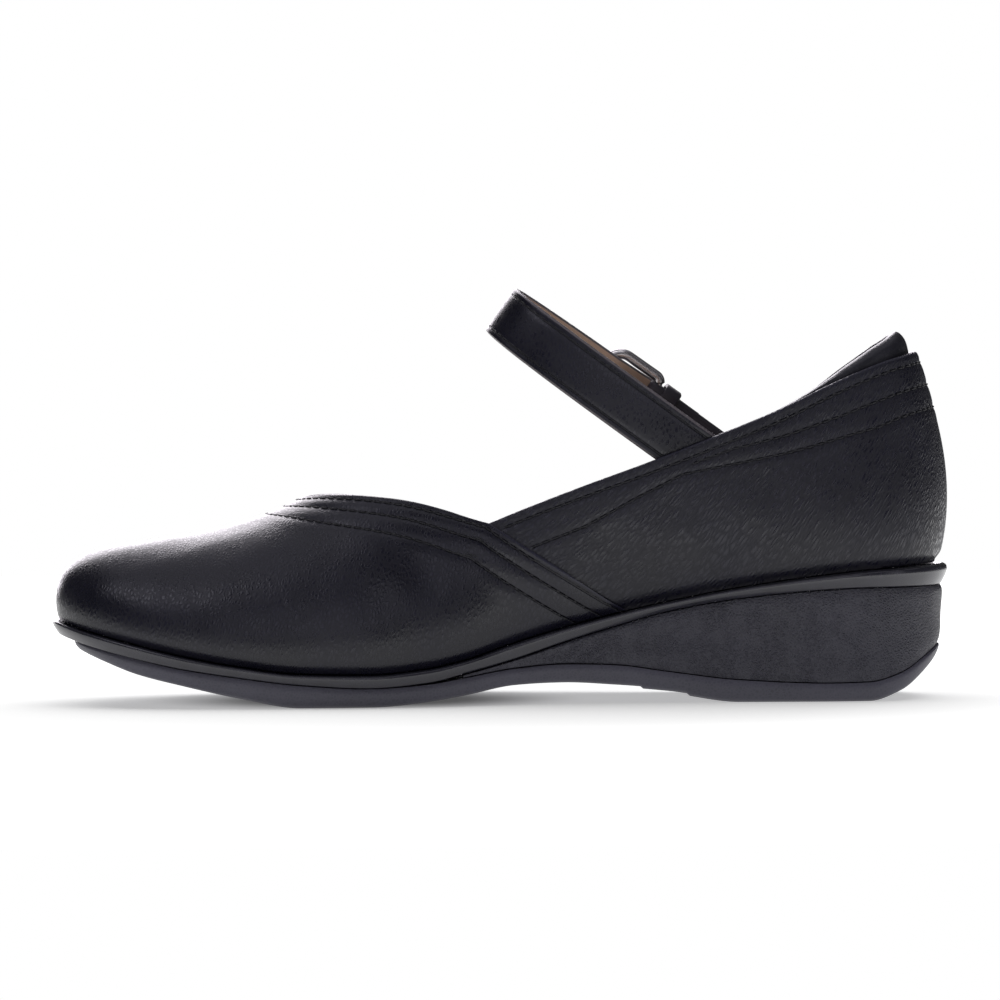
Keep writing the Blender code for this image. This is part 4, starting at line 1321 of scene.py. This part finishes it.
def loop_line(angles):
    """Strap loop in its plane: -90 degrees is the medial collar, 0 the front, 90 the lateral."""
    power = 2.0 / STRAP_ROUNDNESS
    sides = np.where(angles > 0.0, STRAP_LATERAL, STRAP_MEDIAL)
    along = STRAP_REACH * np.maximum(np.cos(angles), 0.0) ** power
    across = sides * np.sign(angles) * np.abs(np.sin(angles)) ** power
    return np.stack((along, across), axis=-1)


def leg_line(rows):
    """Points of the lateral leg for rows of distance from the collar and lift outwards."""
    along, lift = np.asarray(rows, float).T

    def across(at):
        arch = 1.0 - (np.maximum(at, 0.0) / STRAP_REACH) ** STRAP_ROUNDNESS
        return STRAP_LATERAL * arch ** (1.0 / STRAP_ROUNDNESS) + np.minimum(at, 0.0) * STRAP_TUCK_LEAN

    step = 0.1
    slope = (across(along + step) - across(along - step)) / (2.0 * step)
    norm = np.hypot(1.0, slope)
    return np.stack((along - lift * slope / norm, across(along) + lift / norm), axis=-1)


def band_section(width, thick):
    """Closed section of a band: over, lift towards its inner face, lining, edge, gap to a row."""
    half = width / 2.0
    flat = half - BAND_CORNER
    outer_over = np.linspace(-flat, flat, BAND_OUTER_STEPS)
    row = trough(np.abs(outer_over) - (half - BAND_ROW_INSET), ROW_HALF_WIDTH)
    crown = BAND_CROWN * (1.0 - (outer_over / half) ** 2)
    outer_lift = -thick / 2.0 - crown + BAND_TROUGH * row
    inner_over = np.linspace(flat, -flat, BAND_INNER_STEPS)
    turn = np.radians(np.linspace(-75.0, 75.0, BAND_CORNER_STEPS))
    bow = BAND_CORNER * np.cos(turn)
    side = thick / 2.0 * np.sin(turn)
    over = np.concatenate((outer_over, flat + bow, inner_over, -flat - bow))
    lift = np.concatenate((outer_lift, side, np.full(BAND_INNER_STEPS, thick / 2.0), -side))
    counts = (BAND_OUTER_STEPS, BAND_CORNER_STEPS, BAND_INNER_STEPS, BAND_CORNER_STEPS)
    lining = np.repeat((0.0, 0.0, 1.0, 0.0), counts)
    edge = np.repeat((0.0, BAND_EDGE, 0.0, BAND_EDGE), counts)
    gap = np.abs(outer_over) - (half - BAND_ROW_INSET) + ROW_FLAG
    gap = np.concatenate((gap, np.zeros(sum(counts[1:]))))
    ring = np.stack((over, lift, lining, edge, gap), axis=-1)
    return np.concatenate((ring, ring[:1]))


def sweep_band(bm, path, section, tip=False):
    """Band along a path in the strap's plane, with an optional rounded tip."""
    run = unit(np.gradient(path, axis=0))
    normal = np.stack((-run[:, 1], run[:, 0]), axis=-1)
    width = strap_width(path[:, 1]) / STRAP_WIDTH
    if tip:
        left = np.cumsum(np.linalg.norm(np.diff(path, axis=0), axis=1)[::-1])[::-1]
        left = np.concatenate((left, [0.0]))
        width = width * np.sqrt(1.0 - (1.0 - np.clip(left / TIP_LENGTH, 0.03, 1.0)) ** 2)
    spots = path[:, None, :] + normal[:, None, :] * section[None, :, 1:2]
    over = section[None, :, 0] * width[:, None]
    lining = bm.verts.layers.float.new("lining")
    edge = bm.verts.layers.float.new("edge")
    seam = bm.verts.layers.float.new("row_1")
    for vert, (_, row) in bend_grid(bm, strap_space(spots[..., 0], spots[..., 1], over)).items():
        vert[lining] = section[row, 2]
        vert[edge] = section[row, 3]
        vert[seam] = section[row, 4]
    weld(bm)
    close_ends(bm)
    return normal


def strap_path():
    """Strap from inside the medial collar, round the front and out through the buckle."""
    tuck = ((-STRAP_TUCK, -STRAP_MEDIAL + STRAP_TUCK * STRAP_TUCK_LEAN),)
    loop = loop_line(np.radians(np.arange(-90.0, 49.0, 6.0)))
    knots = np.concatenate((tuck, loop, leg_line(STRAP_TAIL)))
    return smooth_profile(knots, STRAP_STEPS)


def tab_path():
    """Tab up the inside, round the buckle's bar and back down outside."""
    bar_at = BUCKLE_AT - BUCKLE_LENGTH / 2.0 + BUCKLE_BAND
    radius = BAR_RADIUS + CLEARANCE + TAB_THICK / 2.0
    turns = np.radians(np.arange(-90.0, 91.0, 20.0))
    fold = np.stack((bar_at + radius * np.cos(turns), BUCKLE_LIFT + radius * np.sin(turns)), axis=-1)
    knots = leg_line(np.concatenate((TAB_INSIDE, fold, TAB_OUTSIDE)))
    return smooth_profile(knots, TAB_STEPS)


def band_rows(path, normal, lift):
    """Stitch lines near both edges of a band's outer face, with their normals."""
    rows = []
    face = path - normal * lift
    inset = (STRAP_WIDTH / 2.0 - BAND_ROW_INSET) * strap_width(path[:, 1]) / STRAP_WIDTH
    for over in (-inset, inset):
        line = placed(strap_space(face[:, 0], face[:, 1], over))
        base = placed(strap_space(path[:, 0], path[:, 1], over))
        rows.append((line, unit(line - base)))
    return rows


def build_strap(settings):
    """Strap with a tan lining and a row of stitches along each edge."""
    path = strap_path()
    bm = bmesh.new()
    normal = sweep_band(bm, path, band_section(STRAP_WIDTH, STRAP_THICK), tip=True)
    leather = settings.leather
    material = leather_material("strap_leather", leather, leather.strap_lining, STRAP_CUT_EDGE, STRAP_CALM)
    strap = add_piece("strap_band", bm, material, "strap")
    lift = STRAP_THICK / 2.0 - STRAP_STITCH_SINK
    threads = bmesh.new()
    for line, normals in band_rows(path[STRAP_STITCHED], normal[STRAP_STITCHED], lift):
        sew(threads, line, normals, settings.stitch)
    add_piece("strap_stitches", threads, bpy.data.materials["thread"])
    return strap


def build_tab():
    """Tab folded round the buckle's bar."""
    bm = bmesh.new()
    section = band_section(STRAP_WIDTH, TAB_THICK) * (1.0, 1.0, 0.0, 1.0, 0.0)
    sweep_band(bm, tab_path(), section)
    material = bpy.data.materials["strap_leather"]
    return add_piece("buckle_tab_fold", bm, material, "buckle_tab")


def rounded_frame(half_length, half_width, front_corner, back_corner, steps):
    """Outline of a rounded rectangle as pairs of along and over, closed."""
    spots = []
    for quarter, (ahead, aside) in enumerate(((1, 1), (-1, 1), (-1, -1), (1, -1))):
        corner = front_corner if ahead > 0 else back_corner
        for angle in np.radians(90.0 * quarter + np.linspace(0.0, 90.0, steps)):
            spots.append(((half_length - corner) * ahead + corner * math.cos(angle),
                          (half_width - corner) * aside + corner * math.sin(angle)))
    return np.array(spots + spots[:1])


def leg_space(along, lift, over):
    """Points above the lateral leg, for arrays of along, lift and over of one shape."""
    flat = leg_line(np.stack((along.ravel(), lift.ravel()), axis=-1))
    return strap_space(flat[:, 0], flat[:, 1], over.ravel()).reshape(*along.shape, 3)


def build_keeper():
    """Leather loop round the tab and the strap's end."""
    low = min(lift for along, lift in TAB_INSIDE if along > 0.0) - TAB_THICK / 2 - CLEARANCE
    high = max(lift for along, lift in STRAP_TAIL) + STRAP_THICK / 2 + CLEARANCE
    half_height = (high - low) / 2.0
    half_width = STRAP_END_WIDTH / 2.0 + CLEARANCE
    section = rounded_frame(KEEPER_LENGTH / 2.0, KEEPER_WALL / 2.0, 0.4, 0.4, 5)
    rings = []
    for along, wall in section:
        reach = wall + KEEPER_WALL / 2.0
        corner = KEEPER_CORNER + reach
        outline = rounded_frame(half_height + reach, half_width + reach, corner, corner, 10)
        lift = outline[:, 0] + (low + high) / 2.0
        rings.append(leg_space(np.full(len(lift), KEEPER_AT + along), lift, outline[:, 1]))
    bm = bmesh.new()
    bend_grid(bm, np.stack(rings, axis=1))
    weld(bm)
    return add_piece("keeper_loop", bm, bpy.data.materials["strap_leather"], "keeper")


FRAME_SQUARENESS = 2.8


def sweep_wire(bm, spots, radii, closed, sides=20, squareness=2.0, widths=None):
    """Wire through points in millimetres, its section a circle or a softened rectangle."""
    widths = radii if widths is None else widths
    if closed:
        around = np.concatenate((spots[-2:-1], spots, spots[1:2]))
        run = unit(around[2:] - around[:-2])
    else:
        run = unit(np.gradient(spots, axis=0))
    base = leg_space(np.array((BUCKLE_AT, BUCKLE_AT)), np.array((0.0, 1.0)), np.zeros(2))
    up = unit(base[1] - base[0])
    beside = unit(np.cross(run, up))
    above = np.cross(beside, run)
    turns = np.linspace(0.0, 2.0 * math.pi, sides + 1)
    power = 2.0 / squareness
    out = np.sign(np.cos(turns)) * np.abs(np.cos(turns)) ** power
    rise = np.sign(np.sin(turns)) * np.abs(np.sin(turns)) ** power
    aside = beside[:, None, :] * (widths[:, None] * out)[:, :, None]
    over = above[:, None, :] * (radii[:, None] * rise)[:, :, None]
    bend_grid(bm, spots[:, None, :] + aside + over)
    weld(bm)
    if not closed:
        close_ends(bm)


def build_buckle(settings):
    """Rounded frame with a thin bar, and the prong that rests on its front."""
    half_length = BUCKLE_LENGTH / 2.0 - BUCKLE_BAND
    half_width = BUCKLE_WIDTH / 2.0 - BUCKLE_BAND
    outline = rounded_frame(half_length, half_width, BUCKLE_FRONT_CORNER, BUCKLE_BAR_CORNER, 12)
    bar = (np.abs(outline[:, 1]) < half_width - BUCKLE_WIRE) & (outline[:, 0] < 0.0)
    radii = np.where(bar, BAR_RADIUS, BUCKLE_WIRE)
    widths = np.where(bar, BAR_RADIUS, BUCKLE_BAND)
    along = BUCKLE_AT + outline[:, 0]
    spots = leg_space(along, np.full(len(along), BUCKLE_LIFT), outline[:, 1])
    material = metal_material("gunmetal", settings)
    bm = bmesh.new()
    sweep_wire(bm, spots, radii, True, squareness=FRAME_SQUARENESS, widths=widths)
    add_piece("buckle_ring", bm, material, "buckle_frame", sharp=35.0)
    rest = BUCKLE_LIFT + BUCKLE_WIRE + CLEARANCE + PRONG_RADIUS
    root = BUCKLE_AT - half_length + BAR_RADIUS + CLEARANCE
    front = BUCKLE_AT + half_length
    knots = ((root, BUCKLE_LIFT), (BUCKLE_AT - BUCKLE_WIRE, BUCKLE_LIFT + PRONG_BOW),
             (BUCKLE_AT + BUCKLE_LENGTH / 5.0, rest - CLEARANCE), (front - BUCKLE_WIRE / 2.0, rest),
             (front + BUCKLE_WIRE * 0.7, rest))
    path = smooth_profile(knots, 40)
    spots = leg_space(path[:, 0], path[:, 1], np.zeros(len(path)))
    radii = PRONG_RADIUS * np.sqrt(1.0 - np.clip(np.linspace(-6.0, 0.97, len(path)), 0.0, 1.0) ** 2)
    bm = bmesh.new()
    sweep_wire(bm, spots, radii, False, 14)
    return add_piece("prong", bm, material, "buckle_prong")


# Stage

WHITE = (1.0, 1.0, 1.0)
WORLD_SEEN = 1.0
WORLD_GIVEN = 0.05
FLOOR_SIZE = 1.3
# The floor's own glow paints a soft shadow round the shoe: it grows with the distance from the ball of the
# foot, in two steps, and fades to white further out
FLOOR_DARK_SHADOW_GLOW = (0.08, 0.08, 0.08)
FLOOR_PALE_SHADOW_GLOW = (0.42, 0.42, 0.42)
FLOOR_SHADOW_CENTRE = (-0.125, 0.0, 0.0)
FLOOR_SHADOW_STRETCH = (1.0, 0.8, 1.0)
FLOOR_DARK_SHADOW_RANGE = (0.026, 0.066)
FLOOR_SHADOW_FADE_RANGE = (0.13, 0.40)
# Softboxes for one piece alone: place, target, width, height
FLOOR_BOX = ((-0.1, 1.0, 2.0), (-0.1, 0.0, 0.0), 3.2, 3.6)
BUCKLE_BOX = ((-0.05, -0.7, 0.9), (-0.03, 0.02, 0.09), 0.7, 0.35)
LIGHT_TINT = (0.985, 0.965, 1.10)
BACK_TINT = (1.0, 0.95, 1.01)
VIEW_CENTRE = (-0.086, 0.0, 0.0569)
CAMERA_DISTANCE = 8.0
SENSOR = 36.0


def point_at(thing, target):
    """Turn a light or camera towards a point."""
    thing.rotation_euler = (Vector(target) - thing.location).to_track_quat("-Z", "Y").to_euler()


def add_softbox(name, place, target, width, depth, power, tint=WHITE):
    """Rectangular area light."""
    data = bpy.data.lights.new(name, "AREA")
    data.shape = "RECTANGLE"
    data.size = width
    data.size_y = depth
    data.energy = power
    data.color = tint
    lamp = bpy.data.objects.new(name, data)
    lamp.location = place
    point_at(lamp, target)
    lamp.visible_camera = False
    bpy.context.scene.collection.objects.link(lamp)
    return lamp


def light_group(name, pieces, state="INCLUDE"):
    """Collection that tells a light which pieces it reaches or spares."""
    group = bpy.data.collections.new(name)
    for piece in pieces:
        group.objects.link(piece)
    for entry in group.collection_objects:
        entry.light_linking.link_state = state
    return group


def white_world(seen, given):
    """World that is white to the camera and dimmer as a light."""
    world = bpy.data.worlds.new("studio")
    bpy.context.scene.world = world
    world.use_nodes = True
    tree = world.node_tree
    ray = add_node(tree, "ShaderNodeLightPath").outputs["Is Camera Ray"]
    strength = mix_values(tree, ray, given, seen)
    tree.links.new(strength, tree.nodes["Background"].inputs["Strength"])
    tree.nodes["Background"].inputs["Color"].default_value = colour(WHITE)


def build_floor(settings):
    """Pale floor whose glow paints a soft shadow round the shoe, with a light of its own, and the group
    that spares it other lights.
    """
    bm = bmesh.new()
    bmesh.ops.create_grid(bm, x_segments=1, y_segments=1, size=FLOOR_SIZE / 2.0)
    mesh = bpy.data.meshes.new("floor")
    bm.to_mesh(mesh)
    bm.free()
    material, tree, shader = new_material("floor", base_color=colour(settings.floor), roughness=0.8,
                                          emission_strength=1.0)
    # The emission is painted shadow: dimmest under the ball of the foot, paler round it, white further out
    place = object_coordinates(tree, scale=FLOOR_SHADOW_STRETCH)
    away = add_node(tree, "ShaderNodeVectorMath", {0: place, 1: FLOOR_SHADOW_CENTRE}, operation="DISTANCE")
    share = span(tree, away.outputs["Value"], *FLOOR_DARK_SHADOW_RANGE)
    shadow_glow = mix_colours(tree, share, colour(FLOOR_DARK_SHADOW_GLOW), colour(FLOOR_PALE_SHADOW_GLOW))
    share = span(tree, away.outputs["Value"], *FLOOR_SHADOW_FADE_RANGE)
    shadow_glow = mix_colours(tree, share, shadow_glow, colour(WHITE))
    tree.links.new(shadow_glow, shader.inputs["Emission Color"])
    mesh.materials.append(material)
    floor = bpy.data.objects.new("floor", mesh)
    bpy.context.scene.collection.objects.link(floor)
    lamp = add_softbox("floor_light", *FLOOR_BOX, settings.floor_light)
    lamp.light_linking.receiver_collection = light_group("floor_only", (floor,))
    return light_group("all_but_floor", (floor,), "EXCLUDE")


def build_camera(settings):
    """Camera at the photograph's angle."""
    data = bpy.data.cameras.new("camera")
    data.sensor_width = SENSOR
    data.lens = SENSOR * CAMERA_DISTANCE / settings.width
    camera = bpy.data.objects.new("camera", data)
    tilt = settings.elevation
    away = Vector((0.0, -math.cos(tilt), math.sin(tilt))) * CAMERA_DISTANCE
    camera.location = Vector(VIEW_CENTRE) + away
    aim = (Vector(VIEW_CENTRE) - camera.location).to_track_quat("-Z", "Y")
    camera.rotation_euler = (aim.to_matrix() @ Matrix.Rotation(settings.roll, 3, "Z")).to_euler()
    bpy.context.scene.collection.objects.link(camera)
    bpy.context.scene.camera = camera


# Softboxes round the shoe: name, place, target, width, height
SOFTBOXES = (
    ("top_light", (-0.05, 0.15, 1.1), (-0.08, 0.0, 0.03), 1.4, 1.4),
    ("back_light", (-0.45, 1.5, 0.70), (-0.2, 0.0, 0.35), 1.1, 1.4),
    ("front_light", (-0.1, -1.6, 0.7), (-0.08, 0.0, 0.05), 1.2, 0.9),
    ("toe_light", (-0.69, -0.54, 0.96), (-0.15, 0.0, 0.04), 0.5, 0.4),
    ("heel_light", (0.95, -0.6, 0.5), (0.0, 0.0, 0.06), 0.5, 0.8),
)


def build_stage(settings):
    """Floor, white world, soft studio lights and camera."""
    spared = build_floor(settings)
    build_camera(settings)
    white_world(WORLD_SEEN, WORLD_GIVEN)
    for name, *box in SOFTBOXES:
        tint = BACK_TINT if name == "back_light" else LIGHT_TINT
        lamp = add_softbox(name, *box, getattr(settings, name), tint)
        lamp.light_linking.receiver_collection = spared
    metal = light_group("buckle_only", (bpy.data.objects["buckle_ring"], bpy.data.objects["prong"]))
    lamp = add_softbox("buckle_light", *BUCKLE_BOX, settings.buckle_light)
    lamp.light_linking.receiver_collection = metal
    bpy.context.scene.view_settings.view_transform = "Standard"


# Operators

class SHOE_OT_sole(bpy.types.Operator):
    """Build the outsole, wedge, rim and sock."""
    bl_idname = "shoe.sole"
    bl_label = "Sole"

    def execute(self, context):
        settings = context.scene.shoe.sole
        build_outsole(settings)
        build_wedge(settings)
        build_rim(settings)
        build_insole(settings)
        return {"FINISHED"}


class SHOE_OT_upper(bpy.types.Operator):
    """Build the leather upper with its rows of stitches."""
    bl_idname = "shoe.upper"
    bl_label = "Upper"

    def execute(self, context):
        settings = context.scene.shoe
        rows = stitch_rows(surface_tree())
        build_upper(settings)
        bm = bmesh.new()
        for line, normals in rows:
            sew(bm, *on_upper(line, normals), settings.stitch)
        add_piece("upper_stitches", bm, thread_material(settings.stitch))
        return {"FINISHED"}


class SHOE_OT_collar_pad(bpy.types.Operator):
    """Build the padded heel collar."""
    bl_idname = "shoe.collar_pad"
    bl_label = "Collar pad"

    def execute(self, context):
        build_collar_pad(context.scene.shoe)
        return {"FINISHED"}


class SHOE_OT_strap(bpy.types.Operator):
    """Build the strap, the buckle's tab and the keeper."""
    bl_idname = "shoe.strap"
    bl_label = "Strap"

    def execute(self, context):
        settings = context.scene.shoe
        build_strap(settings)
        build_tab()
        build_keeper()
        return {"FINISHED"}


class SHOE_OT_buckle(bpy.types.Operator):
    """Build the buckle's frame and prong."""
    bl_idname = "shoe.buckle"
    bl_label = "Buckle"

    def execute(self, context):
        build_buckle(context.scene.shoe.buckle)
        return {"FINISHED"}


class SHOE_OT_stage(bpy.types.Operator):
    """Build the floor, lights and camera."""
    bl_idname = "shoe.stage"
    bl_label = "Stage"

    def execute(self, context):
        build_stage(context.scene.shoe.stage)
        return {"FINISHED"}


class SHOE_PT_panel(bpy.types.Panel):
    """Panel with the shoe's steps in order."""
    bl_idname = "SHOE_PT_panel"
    bl_label = "Mary Jane Shoe"
    bl_space_type = "VIEW_3D"
    bl_region_type = "UI"
    bl_category = "Shoe"

    def draw(self, context):
        for step in STEPS:
            self.layout.operator(step.bl_idname)


STEPS = (SHOE_OT_sole, SHOE_OT_upper, SHOE_OT_collar_pad, SHOE_OT_strap, SHOE_OT_buckle, SHOE_OT_stage)
GROUPS = (LeatherSettings, StitchSettings, SoleSettings, BuckleSettings, StageSettings, ShoeSettings)
CLASSES = (*GROUPS, *STEPS, SHOE_PT_panel)


def register():
    """Make the settings, operators and panel known to Blender."""
    for kind in CLASSES:
        bpy.utils.register_class(kind)
    bpy.types.Scene.shoe = PointerProperty(type=ShoeSettings)


def unregister():
    """Take the settings, operators and panel away again."""
    del bpy.types.Scene.shoe
    for kind in reversed(CLASSES):
        bpy.utils.unregister_class(kind)


def main():
    """Build the shoe and its stage."""
    register()
    bpy.ops.shoe.sole()
    bpy.ops.shoe.upper()
    bpy.ops.shoe.collar_pad()
    bpy.ops.shoe.strap()
    bpy.ops.shoe.buckle()
    bpy.ops.shoe.stage()


if __name__ == "__main__":
    main()
